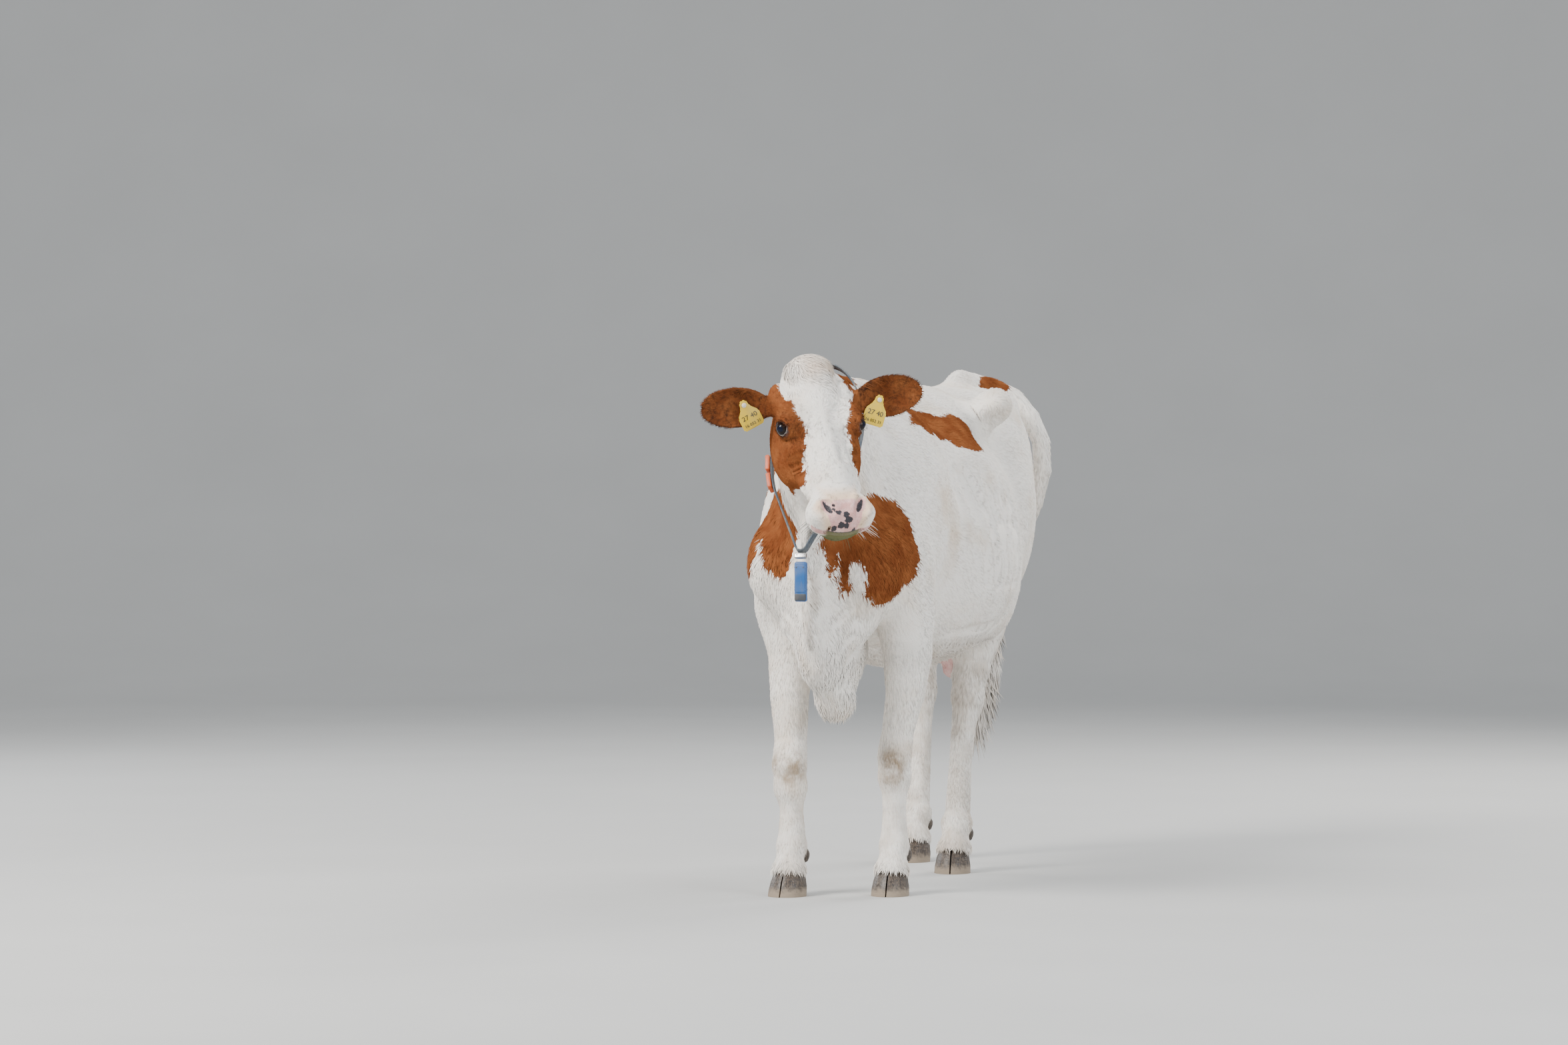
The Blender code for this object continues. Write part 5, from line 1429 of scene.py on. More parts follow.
def hair_colour(tree, root, streaks):
    """White hair with cream tints, rust patches with ragged edges, stains, and dark rims with painted shade
    from the dark field.
    """
    broad = noise(root, 7.0, 3.0)
    white = mixed(between(broad, 0.48, 0.80), WHITE_HAIR, CREAM_HAIR)
    white = mixed(ranged(streaks, 0.0, 0.35), white, (0.90, 0.86, 0.80))
    rust = mixed(between(noise(root, 22.0, 3.0), 0.35, 0.70), RUST_HAIR, RUST_LIGHT)
    rust = mixed(ranged(streaks, 0.55, 0.0), rust, (0.11, 0.032, 0.012))
    ragged = maths("SUBTRACT", noise(root, 95.0, 4.0, 0.65), 0.5)
    edge = times(ragged, 0.030)
    patch = plus(attribute(tree, "patch"), edge)
    hair = mixed(between(patch, -0.0012, 0.0012), white, rust)
    hair = mixed(attribute(tree, "blush"), hair, PEACH_HAIR)
    hair = mixed(attribute(tree, "green"), hair, CHEWED_GRASS)
    dirt = times(attribute(tree, "stain"), between(noise(root, 18.0, 4.0, 0.6), 0.30, 0.65))
    hair = mixed(dirt, hair, DIRT)
    # The dark field: dark rims and lids, with painted shade at the nostrils and the mouth's line.
    rim = plus(attribute(tree, "dark"), times(edge, 0.5))
    return mixed(between(rim, -0.0030, 0.0030), hair, DARK_HAIR)


def skin_material():
    """Short flat hair as fine bump along the lie, and bare pink or black skin on the muzzle and lids, with
    painted shade in the nostrils and along the mouth's line.
    """
    material, tree, shader = new_material("skin_under_coat")
    root = attribute(tree, "root", "Vector")
    comb = stretched(attribute(tree, "comb", "Vector"), (1.0, 1.0, 0.10))
    streaks = noise(comb, 420.0, 2.0, 0.6)
    hair = hair_colour(tree, root, streaks)
    bare_edge = times(maths("SUBTRACT", noise(root, 240.0, 3.0), 0.5), 0.006)
    bare = between(plus(attribute(tree, "bare"), bare_edge), -0.0015, 0.0025)
    pink = mixed(between(noise(root, 60.0, 3.0), 0.35, 0.70), PINK_SKIN, (0.72, 0.46, 0.43))
    # Black blotches and lids, with painted shade inside the nostrils and along the mouth's line.
    dark_skin_and_shade = plus(attribute(tree, "dark"), times(bare_edge, 0.9))
    bare_colour = mixed(between(dark_skin_and_shade, -0.0008, 0.0012), pink, BLACK_SKIN_AND_SHADE)
    bare_colour = mixed(attribute(tree, "green"), bare_colour, CHEWED_GRASS)
    finish(shader, mixed(bare, hair, bare_colour), ranged(bare, 0.66, 0.46))
    feed(shader.inputs["Specular IOR Level"], ranged(bare, 0.0, 0.5))
    feed(shader.inputs["Subsurface Weight"], 0.04)
    feed(shader.inputs["Subsurface Scale"], 0.004)
    clumps = noise(stretched(attribute(tree, "comb", "Vector"), (1.0, 1.0, 0.22)), 120.0, 2.0)
    fur = plus(times(streaks, 0.55), times(clumps, 0.6))
    pebbles = times(between(cells(root, 330.0), 0.0, 0.7), 0.55)
    blend = tree.nodes.new("ShaderNodeMix")
    feed(blend.inputs[0], bare)
    feed(blend.inputs[2], fur)
    feed(blend.inputs[3], pebbles)
    bumped(shader, blend.outputs[0], 0.0016, 0.75)
    return material


def coat_material():
    """The tufts: painted shade at their roots, each a little different, with the same markings as the skin.
    """
    material, tree, shader = new_material("coat_hair")
    root = attribute(tree, "root", "Vector")
    vary = attribute(tree, "vary")
    along = attribute(tree, "along")
    strands = noise(stretched(object_place(tree), (1.0, 0.5, 0.5)), 900.0, 1.0)
    tone = times(plus(vary, strands), 0.5)
    hair = hair_colour(tree, root, tone)
    # Painted shade: each tuft is multiplied darker towards its root.
    shadow = mixed(ranged(along, 0.30, 0.0), hair, (0.84, 0.77, 0.71))
    shadow.node.blend_type = "MULTIPLY"
    finish(shader, shadow, ranged(strands, 0.50, 0.68))
    feed(shader.inputs["Specular IOR Level"], 0.0)
    bumped(shader, strands, 0.0004, 0.5)
    return material


# ================ eyes

def eye_material():
    """A dark wet eye: brown-black iris, wide blue-black pupil, and white with fine veins at the corners."""
    material, tree, shader = new_material("wet_eye")
    place = object_place(tree)
    x, y, _ = parted(place)
    radius = maths("SQRT", plus(times(x, x), times(y, y)))
    wide = times(x, 0.62)
    oval = maths("SQRT", plus(times(wide, wide), times(y, y)))
    fibres = noise(stretched(place, (1.0, 1.0, 0.2)), 900.0, 3.0)
    iris = mixed(fibres, (0.006, 0.004, 0.004), (0.020, 0.011, 0.008))
    pupil = mixed(between(oval, 0.0070, 0.0080), (0.004, 0.006, 0.016), iris)
    veins = between(noise(place, 260.0, 4.0, 0.7), 0.55, 0.70)
    white = mixed(veins, (0.62, 0.56, 0.50), (0.42, 0.20, 0.16))
    ring = mixed(between(radius, 0.0152, 0.0162), pupil, (0.010, 0.007, 0.008))
    finish(shader, mixed(between(radius, 0.0163, 0.0172), ring, white), 0.05)
    feed(shader.inputs["IOR"], 1.38)
    feed(shader.inputs["Specular IOR Level"], 0.30)
    bumped(shader, fibres, 0.0001, 0.15)
    return material


def make_eye(side, material):
    """A ball that looks along its own z, with the cornea's bulge in front."""
    shape = bmesh.new()
    bmesh.ops.create_uvsphere(shape, u_segments=64, v_segments=40, radius=EYE_RADIUS)
    for vertex in shape.verts:
        radius = math.hypot(vertex.co.x, vertex.co.y) / EYE_RADIUS
        if vertex.co.z > 0.0 and radius < 0.75:
            vertex.co.z += 0.0016 * (1.0 - (radius / 0.75) ** 2)
    piece = linked("eyeball_" + side, mesh_of(shape, "eyeball_" + side), material)
    placed(piece, "eye", "eye_" + side)
    gaze = Matrix.Rotation(radians(GAZE_OUTWARD), 4, "Y")
    piece.matrix_world = Matrix.Translation(SHIFT) @ EYES[side] @ gaze


def make_lashes(side, table, material, rng):
    """Curved lashes along the upper lid, longest at its middle, and short sparse ones below."""
    roots, normals, ways, lengths = [], [], [], []
    eye = EYES[side]
    for upper, height, count, longest in ((True, 0.0150, 46, 0.017), (False, -0.0105, 22, 0.008)):
        for index in range(count):
            share = 0.12 + 0.78 * index / (count - 1)
            x = -0.0215 * cos(pi * share)
            y = height * sin(pi * share)
            z = math.sqrt(EYE_RADIUS ** 2 - min(x * x + y * y, 0.9 * EYE_RADIUS ** 2)) + 0.003
            way = Vector((x * 14, (0.35 if upper else -0.45), 0.9)).normalized()
            roots.append(eye @ Vector((x, y, z)))
            ways.append(eye.to_3x3() @ way)
            normals.append(eye.to_3x3() @ Vector((0, 1.0 if upper else -1.0, 0.2)).normalized())
            lengths.append(longest * sin(pi * share) ** 0.5)
    roots, normals, ways, lengths = (np.array(values) for values in (roots, normals, ways, lengths))
    normals = unit(normals - ways * (normals * ways).sum(axis=1)[:, None])
    ways = spread(ways, normals, 0.16, rng)
    lengths = lengths * rng.uniform(0.8, 1.15, len(lengths))
    widths = np.full(len(roots), 0.0007)
    arrays = lock_arrays(roots, normals, ways, lengths, widths, lengths * 0.25, -0.15)
    coat_piece("lashes_" + side, arrays, roots, places_near(table, roots), material, rng)


# ================ claws

def horn_material():
    """Dark hoof horn with growth rings, streaks down the wall and a worn, dusty lower edge."""
    material, tree, shader = new_material("hoof_horn")
    place = object_place(tree)
    rings = noise(stretched(place, (0.15, 0.15, 1.0)), 260.0, 3.0)
    streaks = noise(stretched(place, (1.0, 1.0, 0.12)), 330.0, 3.0)
    horn = mixed(between(streaks, 0.35, 0.70), (0.035, 0.027, 0.022), (0.115, 0.085, 0.062))
    low = plus(parted(place)[2], times(noise(place, 90.0, 4.0), -0.030))
    dust = maths("SUBTRACT", 1.0, between(low, -0.006, 0.014))
    finish(shader, mixed(dust, horn, (0.26, 0.205, 0.15)), ranged(dust, 0.42, 0.80))
    bumped(shader, plus(rings, times(streaks, 0.3)), 0.0016, 0.8)
    return material


def cut_flat(shape, middle, normal):
    """Cuts a closed shape by a plane and closes the cut."""
    everything = shape.verts[:] + shape.edges[:] + shape.faces[:]
    bmesh.ops.bisect_plane(shape, geom=everything, plane_co=middle, plane_no=normal, clear_outer=True)
    rim = [edge for edge in shape.edges if edge.is_boundary]
    bmesh.ops.holes_fill(shape, edges=rim, sides=0)


def claw_mesh(name, foot, side):
    """Half of a cloven foot: a rounded wedge with growth rings, flat at the sole and the cleft."""
    x, y, toe_out = foot
    shape = bmesh.new()
    bmesh.ops.create_uvsphere(shape, u_segments=56, v_segments=44, radius=1.0)
    scale = Matrix.Diagonal((CLAW_WIDTH * 1.02, CLAW_LENGTH * 0.5, CLAW_HEIGHT * 1.25, 1.0))
    bmesh.ops.transform(shape, matrix=scale, verts=shape.verts)
    lean = 0.55 * math.tan(radians(CLAW_LEAN))
    for vertex in shape.verts:
        height = max(vertex.co.z, 0.0)
        vertex.co.y += height * lean
        vertex.co.x *= 1.0 + 0.006 * sin(height * 700.0 + vertex.co.y * 60.0)
    cut_flat(shape, Vector((0, 0, 0)), Vector((0, 0, -1)))
    cut_flat(shape, Vector((side * CLAW_CLEFT * 0.5, 0, 0)), Vector((-side, 0, 0)))
    place = Matrix.Translation((x, y - 0.038, 0.0)) @ Matrix.Rotation(radians(toe_out), 4, "Z")
    bmesh.ops.transform(shape, matrix=place, verts=shape.verts)
    slope = radians(CORONET_SLOPE)
    top = Vector((x, y - 0.060, CORONET_FRONT - 0.0005))
    cut_flat(shape, top, Vector((0, sin(slope), cos(slope))))
    bmesh.ops.triangulate(shape, faces=[face for face in shape.faces if len(face.verts) > 4])
    return mesh_of(shape, name)


def make_feet(material):
    for leg, feet in (("fore", FORE_FEET), ("hind", HIND_FEET)):
        for side, foot in feet.items():
            for label, way in (("a", -1), ("b", 1)):
                node = f"claw_{leg}_{side}_{label}"
                piece = linked("horn_" + node, claw_mesh(node, foot, way), material)
                piece.data.set_sharp_from_angle(angle=radians(50))
                placed(piece, "horn", node)
            make_dewclaws(leg, side, foot, material)


def make_dewclaws(leg, side, foot, material):
    x, y, _ = foot
    back = 0.056 if leg == "hind" else 0.050
    for label, out in (("a", -1), ("b", 1)):
        place = Matrix.LocRotScale(Vector((x + out * 0.021, y + back, 0.100)), Euler((0.45, 0, 0)), None)
        shape = bmesh.new()
        bmesh.ops.create_uvsphere(shape, u_segments=24, v_segments=16, radius=1.0)
        for vertex in shape.verts:
            vertex.co *= 1.0 + 0.02 * sin(vertex.co.z * 14.0)
            vertex.co.x *= 1.0 - 0.18 * max(-vertex.co.z, 0.0)
        scale = Matrix.Diagonal((DEWCLAW_RADIUS, DEWCLAW_RADIUS * 1.15, DEWCLAW_RADIUS * 1.7, 1.0))
        bmesh.ops.transform(shape, matrix=place @ scale, verts=shape.verts)
        node = f"dewclaw_{leg}_{side}_{label}"
        placed(linked("horn_" + node, mesh_of(shape, node), material), "horn", node)


# ================ collar

def collar_frame():
    """The collar's plane: down runs from its middle to the clip, across runs to the cow's left."""
    centre = Vector(COLLAR_CENTRE)
    down = (Vector(COLLAR_CLIP) - centre).normalized()
    across = Vector((1, 0, 0))
    across = (across - down * across.dot(down)).normalized()
    return centre, across, down


def hull(points):
    """The convex outline of points in a plane, in order."""
    ordered = sorted(points)
    chains = []
    for sequence in (ordered, ordered[::-1]):
        chain = []
        for point in sequence:
            while len(chain) > 1:
                ax, ay = chain[-1][0] - chain[-2][0], chain[-1][1] - chain[-2][1]
                bx, by = point[0] - chain[-2][0], point[1] - chain[-2][1]
                if ax * by - ay * bx > 0:
                    break
                chain.pop()
            chain.append(point)
        chains.append(chain[:-1])
    return chains[0] + chains[1]


def strap_route(parts, stations=132):
    """Follows the neck all round, then hangs taut to the clip, as a loose strap does."""
    centre, across, down = collar_frame()
    rays = [2.0 * pi * index / 90 for index in range(90)]
    reach = np.full(len(rays), 0.30)
    ways = np.array([across * cos(angle) + down * sin(angle) for angle in rays])
    for _ in range(60):
        points = np.array(centre) + ways * reach[:, None]
        over = form_distance(points, parts) - STRAP_CLEARANCE - 0.5 * STRAP_THICKNESS
        reach = reach - np.clip(0.6 * over, -0.01, 0.01)
    outline = [(r * cos(angle), r * sin(angle)) for r, angle in zip(reach, rays)]
    clip_reach = (Vector(COLLAR_CLIP) - centre).length
    outline += [(-0.009, clip_reach), (0.009, clip_reach)]
    ring = np.array(hull(outline))
    closed = np.vstack([ring, ring[:1]])
    lengths = np.concatenate([[0], np.cumsum(lengths_of(np.diff(closed, axis=0)))])
    places = np.arange(stations) * lengths[-1] / stations
    flat = np.stack([np.interp(places, lengths, closed[:, axis]) for axis in range(2)], axis=1)
    flat = 0.25 * np.roll(flat, 1, axis=0) + 0.5 * flat + 0.25 * np.roll(flat, -1, axis=0)
    return [centre + across * u + down * v for u, v in flat]


def strap_section(width, thickness, rounding=0.0012):
    """A flat section with rounded edges and a raised seam near each edge."""
    w, t, r = width / 2, thickness / 2, rounding
    side = [(t - r, w), (t, w - r), (t, w - 0.0030), (t - 0.0004, w - 0.0036), (t, w - 0.0042)]
    top = side + [(a, -b) for a, b in side[::-1]]
    return top + [(-a, b) for a, b in top[::-1]]


def swept(name, route, section, axis):
    """Sweeps a flat section round a closed route, with u along it and v across it in metres."""
    shape = bmesh.new()
    layer = shape.loops.layers.uv.new("weave")
    count = len(route)
    rings, travelled = [], [0.0]
    for index, point in enumerate(route):
        ahead = route[(index + 1) % count]
        outward = (ahead - route[index - 1]).normalized().cross(axis).normalized()
        rings.append([shape.verts.new(point + outward * a + axis * b) for a, b in section])
        travelled.append(travelled[-1] + (ahead - point).length)
    for index, first in enumerate(rings):
        second = rings[(index + 1) % count]
        for corner in range(len(section)):
            following = (corner + 1) % len(section)
            face = shape.faces.new((first[corner], first[following], second[following], second[corner]))
            start, end = travelled[index], travelled[index + 1]
            low, high = section[corner][1], section[following][1]
            places = [(start, low), (start, high), (end, high), (end, low)]
            for loop, place in zip(face.loops, places):
                loop[layer].uv = place
    bmesh.ops.recalc_face_normals(shape, faces=shape.faces)
    return mesh_of(shape, name)


def strap_material():
    """Woven blue-grey webbing: diagonal weave, with dust caught in it."""
    material, tree, shader = new_material("strap_webbing")
    weave = tree.nodes.new("ShaderNodeUVMap")
    weave.uv_map = "weave"
    u, v, _ = parted(weave.outputs[0])
    ribs = maths("SINE", times(plus(u, v), 3600.0))
    cross = maths("SINE", times(maths("SUBTRACT", u, v), 3600.0))
    threads = maths("MAXIMUM", ribs, cross)
    dust = between(noise(object_place(tree), 38.0, 5.0, 0.65), 0.40, 0.72)
    cloth = mixed(ranged(threads, 0.0, 0.5), STRAP_BLUE, (0.15, 0.185, 0.22))
    cloth = mixed(times(dust, 0.6), cloth, (0.30, 0.28, 0.24))
    finish(shader, cloth, 0.72)
    bumped(shader, threads, 0.0004, 0.8)
    return material


def plastic_material(name, colour, dusty, roughness, scuffs=60.0):
    """Moulded plastic with fine grain, and scuffs and dust in patches."""
    material, tree, shader = new_material(name)
    place = object_place(tree)
    grain = noise(place, 1500.0, 2.0)
    wear = between(noise(stretched(place, (1.0, 1.0, 0.35)), scuffs, 6.0, 0.7), 0.50, 0.74)
    faded = mixed(between(noise(place, 14.0, 3.0), 0.35, 0.70), colour,
                  tuple(0.75 * value + 0.08 for value in colour))
    worn = min(roughness + 0.35, 0.95)
    finish(shader, mixed(times(wear, 0.55), faded, dusty), ranged(wear, roughness, worn))
    bumped(shader, plus(grain, times(wear, 0.6)), 0.0003, 0.5)
    return material


def steel_material():
    """Dull steel with fine scratches and brown tarnish."""
    material, tree, shader = new_material("dull_steel")
    place = object_place(tree)
    scratches = noise(stretched(place, (1.0, 0.08, 1.0)), 1300.0, 3.0)
    tarnish = between(noise(place, 140.0, 5.0, 0.65), 0.50, 0.75)
    feed(shader.inputs["Base Color"], mixed(tarnish, (0.50, 0.50, 0.49), (0.20, 0.155, 0.12)))
    feed(shader.inputs["Metallic"], 1.0)
    feed(shader.inputs["Roughness"], ranged(tarnish, 0.32, 0.62))
    bumped(shader, scratches, 0.0002, 0.6)
    return material


def bevelled(name, size, matrix, radius, material, segments=3):
    shape = bmesh.new()
    bmesh.ops.create_cube(shape, size=1.0, matrix=Matrix.Diagonal((*size, 1.0)))
    bmesh.ops.bevel(shape, geom=shape.edges[:], offset=radius, segments=segments, affect="EDGES",
                    profile=0.5)
    bmesh.ops.transform(shape, matrix=matrix, verts=shape.verts)
    return linked(name, mesh_of(shape, name), material)


def joined(name, pieces):
    """Joins pieces of one material or several into one object."""
    for piece in bpy.context.selected_objects:
        piece.select_set(False)
    for piece in pieces:
        piece.select_set(True)
    bpy.context.view_layer.objects.active = pieces[0]
    bpy.ops.object.join()
    result = bpy.context.view_layer.objects.active
    result.name = name
    result.select_set(False)
    return result


def digits(name, text, height, matrix, material, thickness=0.0004):
    """Plain numbers as thin raised mesh."""
    curve = bpy.data.curves.new(name, "FONT")
    curve.body = text
    curve.align_x, curve.align_y = "CENTER", "CENTER"
    curve.size = height * 1.45
    curve.extrude = thickness
    curve.resolution_u = 4
    source = bpy.data.objects.new(name, curve)
    bpy.context.scene.collection.objects.link(source)
    bpy.context.view_layer.update()
    graph = bpy.context.evaluated_depsgraph_get()
    mesh = bpy.data.meshes.new_from_object(source.evaluated_get(graph))
    bpy.data.objects.remove(source, do_unlink=True)
    mesh.transform(matrix)
    mesh.materials.clear()
    return linked(name, mesh, material, smooth=False)


def make_collar(parts):
    route = strap_route(parts)
    _, across, down = collar_frame()
    axis = across.cross(down)
    strap = swept("collar_webbing", route, strap_section(STRAP_WIDTH, STRAP_THICKNESS), axis)
    placed(linked("collar_webbing", strap, strap_material()), "strap", "collar_strap")
    steel = steel_material()
    frame_turn = Matrix((across, -axis, -down)).transposed().to_4x4()
    clip = Vector(COLLAR_CLIP)
    clip_place = Matrix.Translation(clip + down * 0.0115) @ frame_turn
    pieces = [bevelled("clip_body", (0.030, 0.010, 0.014), clip_place, 0.002, steel)]
    for x in (-0.009, 0.009):
        place = clip_place @ Matrix.Translation((x, 0, 0))
        pieces.append(bevelled("clip_pin", (0.004, 0.012, 0.004), place, 0.0012, steel))
    placed(joined("collar_weight_clip", pieces), "clip", "collar_clip")
    make_transponder(clip)
    make_blocks(route, axis)


def make_transponder(clip):
    """A moulded blue box with a rounded cover, two ribs, screws and a scuffed dark foot."""
    blue = plastic_material("transponder_blue", BOX_BLUE, (0.16, 0.15, 0.13), 0.38)
    dark = plastic_material("transponder_foot", (0.045, 0.050, 0.058), (0.14, 0.12, 0.10), 0.60)
    hang = Matrix.Translation(clip + Vector((0, -0.002, -0.075)))
    mouldings = (
        ("box_body", (0.031, 0.017, 0.100), (0, 0, 0), 0.005, blue, 4),
        ("box_cover", (0.026, 0.004, 0.070), (0, -0.0080, 0.008), 0.0018, blue, 3),
        ("box_foot", (0.0300, 0.0185, 0.020), (0, 0, -0.0385), 0.004, dark, 3),
        ("box_rib", (0.0305, 0.0190, 0.0025), (0, 0, -0.020), 0.0010, blue, 2),
        ("box_rib", (0.0305, 0.0190, 0.0025), (0, 0, 0.036), 0.0010, blue, 2),
    )
    pieces = []
    for name, size, offset, radius, plastic, segments in mouldings:
        place = hang @ Matrix.Translation(offset)
        pieces.append(bevelled(name, size, place, radius, plastic, segments))
    for x in (-0.009, 0.009):
        place = hang @ Matrix.Translation((x, -0.0098, 0.036)) @ Matrix.Rotation(pi / 2, 4, "X")
        shape = bmesh.new()
        bmesh.ops.create_cone(shape, cap_ends=True, segments=20, radius1=0.0022, radius2=0.0018,
                              depth=0.0010, matrix=place)
        pieces.append(linked("box_screw", mesh_of(shape, "box_screw"), dark))
    placed(joined("collar_box", pieces), "transponder", "collar_transponder")


def make_blocks(route, axis):
    """Two moulded number blocks threaded on the strap at the cow's right, each with one plain digit."""
    orange = plastic_material("block_orange", BLOCK_ORANGE, (0.34, 0.27, 0.20), 0.45)
    ink = plastic_material("block_digit", (0.72, 0.66, 0.56), (0.40, 0.34, 0.27), 0.55)
    for label, text in (("upper", "3"), ("lower", "8")):
        middle = node_middle("collar_block_" + label)
        index = min(range(len(route)), key=lambda number: (route[number] - middle).length)
        along = (route[(index + 1) % len(route)] - route[index - 1]).normalized()
        if along.z < 0:
            along = -along
        outward = along.cross(axis).normalized()
        if outward.x > 0:
            outward = -outward
        turn = Matrix((axis, outward, along)).transposed().to_4x4()
        place = Matrix.Translation(middle) @ turn
        pieces = [bevelled("block_body", BLOCK_SIZE, place, 0.0026, orange, 3)]
        for z in (-0.0158, 0.0158):
            rim = place @ Matrix.Translation((0, 0.0047, z))
            pieces.append(bevelled("block_rim", (0.0325, 0.0030, 0.0030), rim, 0.0010, orange, 2))
        facing = Matrix((-axis, along, outward)).transposed().to_4x4()
        pieces.append(digits("block_digit_" + label, text, 0.018,
                             Matrix.Translation(middle + outward * 0.0056) @ facing, ink))
        placed(joined("collar_number_" + label, pieces), "number_block", "collar_block_" + label)


# ================ ear tags

def tag_outline(width, height, neck):
    """A plate that narrows to a neck at the top, round the stud."""
    half = [(width / 2, -height), (width / 2, -height * 0.42), (neck, -height * 0.12),
            (neck * 0.8, neck * 0.8)]
    mirrored = [(-x, y) for x, y in half]
    return [mirrored[0], *half, (0, neck * 1.15), *mirrored[:0:-1]]


def plate_frame(side, behind):
    """The plate's place, worked out from its stud and stem: x across, y up, z away from the ear."""
    way = (EARS[side].to_3x3() @ Vector((0, 0, 1))).normalized()
    upright = Vector((0, 0, 1))
    up = (upright - way * upright.dot(way)).normalized()
    across = up.cross(way)
    stud = node_middle("ear_tag_stud_" + side)
    if not behind:
        tilt = Matrix.Rotation(radians(TAG_TILTS[side]), 3, way)
        return stud - way * (STUD_HALF + FIT_GAP + TAG_THICKNESS / 2), tilt @ across, tilt @ up, way
    stem = node_middle("ear_tag_stem_" + side)
    depth = (stud - stem).dot(way) - STUD_HALF - FIT_GAP - TAG_THICKNESS / 2
    return stem - way * depth, -across, up, -way


def tag_plate(name, outline, side, behind, material):
    """A curved plastic plate with rounded corners."""
    middle, across, up, way = plate_frame(side, behind)
    shape = bmesh.new()
    corners = [shape.verts.new((x, y, 0.0)) for x, y in outline]
    shape.faces.new(corners)
    bmesh.ops.bevel(shape, geom=corners, offset=0.0035, segments=5, affect="VERTICES")
    bmesh.ops.triangulate(shape, faces=shape.faces)
    bmesh.ops.subdivide_edges(shape, edges=shape.edges, cuts=3)
    height = max(-y for _, y in outline)
    for vertex in shape.verts:
        vertex.co.z = -0.0018 * (vertex.co.x / 0.028) ** 2 * min(1.0, max(0.0, -vertex.co.y / height))
    pushed = bmesh.ops.extrude_face_region(shape, geom=list(shape.faces))
    moved = [item for item in pushed["geom"] if isinstance(item, bmesh.types.BMVert)]
    bmesh.ops.translate(shape, vec=(0, 0, TAG_THICKNESS), verts=moved)
    bmesh.ops.recalc_face_normals(shape, faces=shape.faces)
    bmesh.ops.translate(shape, vec=(0, 0, -TAG_THICKNESS / 2), verts=shape.verts)
    place = Matrix.Translation(middle) @ Matrix((across, up, way)).transposed().to_4x4()
    bmesh.ops.transform(shape, matrix=place, verts=shape.verts)
    plate = linked(name, mesh_of(shape, name), material)
    plate.data.set_sharp_from_angle(angle=radians(40))
    return plate, place


def make_tags():
    """Two plates on each ear with plain numbers, and the stud that joins them."""
    yellow = plastic_material("tag_yellow", TAG_YELLOW, (0.56, 0.38, 0.03), 0.55, 45.0)
    ink = plastic_material("tag_ink", TAG_INK, (0.10, 0.085, 0.05), 0.55)
    pale = plastic_material("tag_stud", (0.70, 0.66, 0.56), (0.35, 0.30, 0.22), 0.45)
    for side in EAR_TURNS:
        front, place = tag_plate("tag_front_" + side, tag_outline(*TAG_FRONT), side, False, yellow)
        face = place @ Matrix.Translation((0, -0.0340, TAG_THICKNESS / 2 + 0.0001))
        small = place @ Matrix.Translation((0, -0.0545, TAG_THICKNESS / 2 + 0.0001))
        pieces = [front, digits("tag_number", "27 40", 0.0125, face, ink, 0.0003),
                  digits("tag_count", "16 052 31", 0.0075, small, ink, 0.0003)]
        placed(joined("tag_front_" + side, pieces), "ear_tag", "ear_tag_" + side)
        back, place = tag_plate("tag_back_" + side, tag_outline(*TAG_BACK), side, True, yellow)
        placed(back, "ear_tag", "ear_tag_back_" + side)
        frame["nodes"]["ear_tag_stem_" + side].material_slots[0].material = pale
        shape = bmesh.new()
        turn = place.to_3x3().to_4x4() @ Matrix.Rotation(pi, 4, "X")
        bmesh.ops.create_uvsphere(shape, u_segments=28, v_segments=14, radius=1.0,
                                  matrix=Matrix.Translation(node_middle("ear_tag_stud_" + side)) @ turn
                                  @ Matrix.Diagonal((0.0062, 0.0062, 0.0026, 1.0)))
        stud = linked("tag_stud_" + side, mesh_of(shape, "stud_" + side), pale)
        placed(stud, "tag_stud", "ear_tag_stud_" + side)


# ================ longer hair

def over_the_brow(roots, normals):
    """Forward over the brow, in swirls."""
    swirl = 0.6 * np.sin(local_to(HEAD, roots)[:, 0] * 45.0 + 1.2) + 0.35
    forward = columns(swirl, -0.55, 0.25) @ np.array(HEAD)[:3, :3].T
    return unit(forward - 0.90 * normals * (forward * normals).sum(axis=1)[:, None])


def off_the_ear(side, out, aside, ahead):
    """A bend for an ear's locks: out along it, aside from its middle line and ahead of its hollow."""
    def bend(roots, _):
        half = np.sign(local_to(EARS[side], roots)[:, 1])
        return unit(columns(out, aside * half, ahead) @ np.array(EARS[side])[:3, :3].T)
    return bend


def hanging(roots, normals):
    return unit(0.22 * normals + np.array((0.0, 0.0, -1.0)) + 0.05 * np.sin(roots[:, :1] * 90))


def make_ear_hair(side, table, material):
    """A fringe round the rim and longer hair in the hollow."""
    middles = table["middles"]
    place = local_to(EARS[side], middles)
    x, y, z = place.T
    inside = in_ear_box(place) & (x > 0.0) & ~near_tag(middles, 0.016)
    oval = np.sqrt(((x - EAR_LENGTH * 0.50) / (EAR_LENGTH * 0.48)) ** 2 + (y / EAR_HALF_WIDTH) ** 2)
    rim = inside * smoothstep(0.74, 0.90, oval) * (x > 0.02)
    hollow = inside * (z > -0.016) * (x < EAR_LENGTH * 0.52) * (oval < 0.9) * (x > 0.015)
    locks_where("ear_rim_" + side, table, rim, material, off_the_ear(side, 0.55, 0.30, 0.10))
    locks_where("ear_hollow_" + side, table, hollow, material, off_the_ear(side, 0.8, -0.5, 0.55))


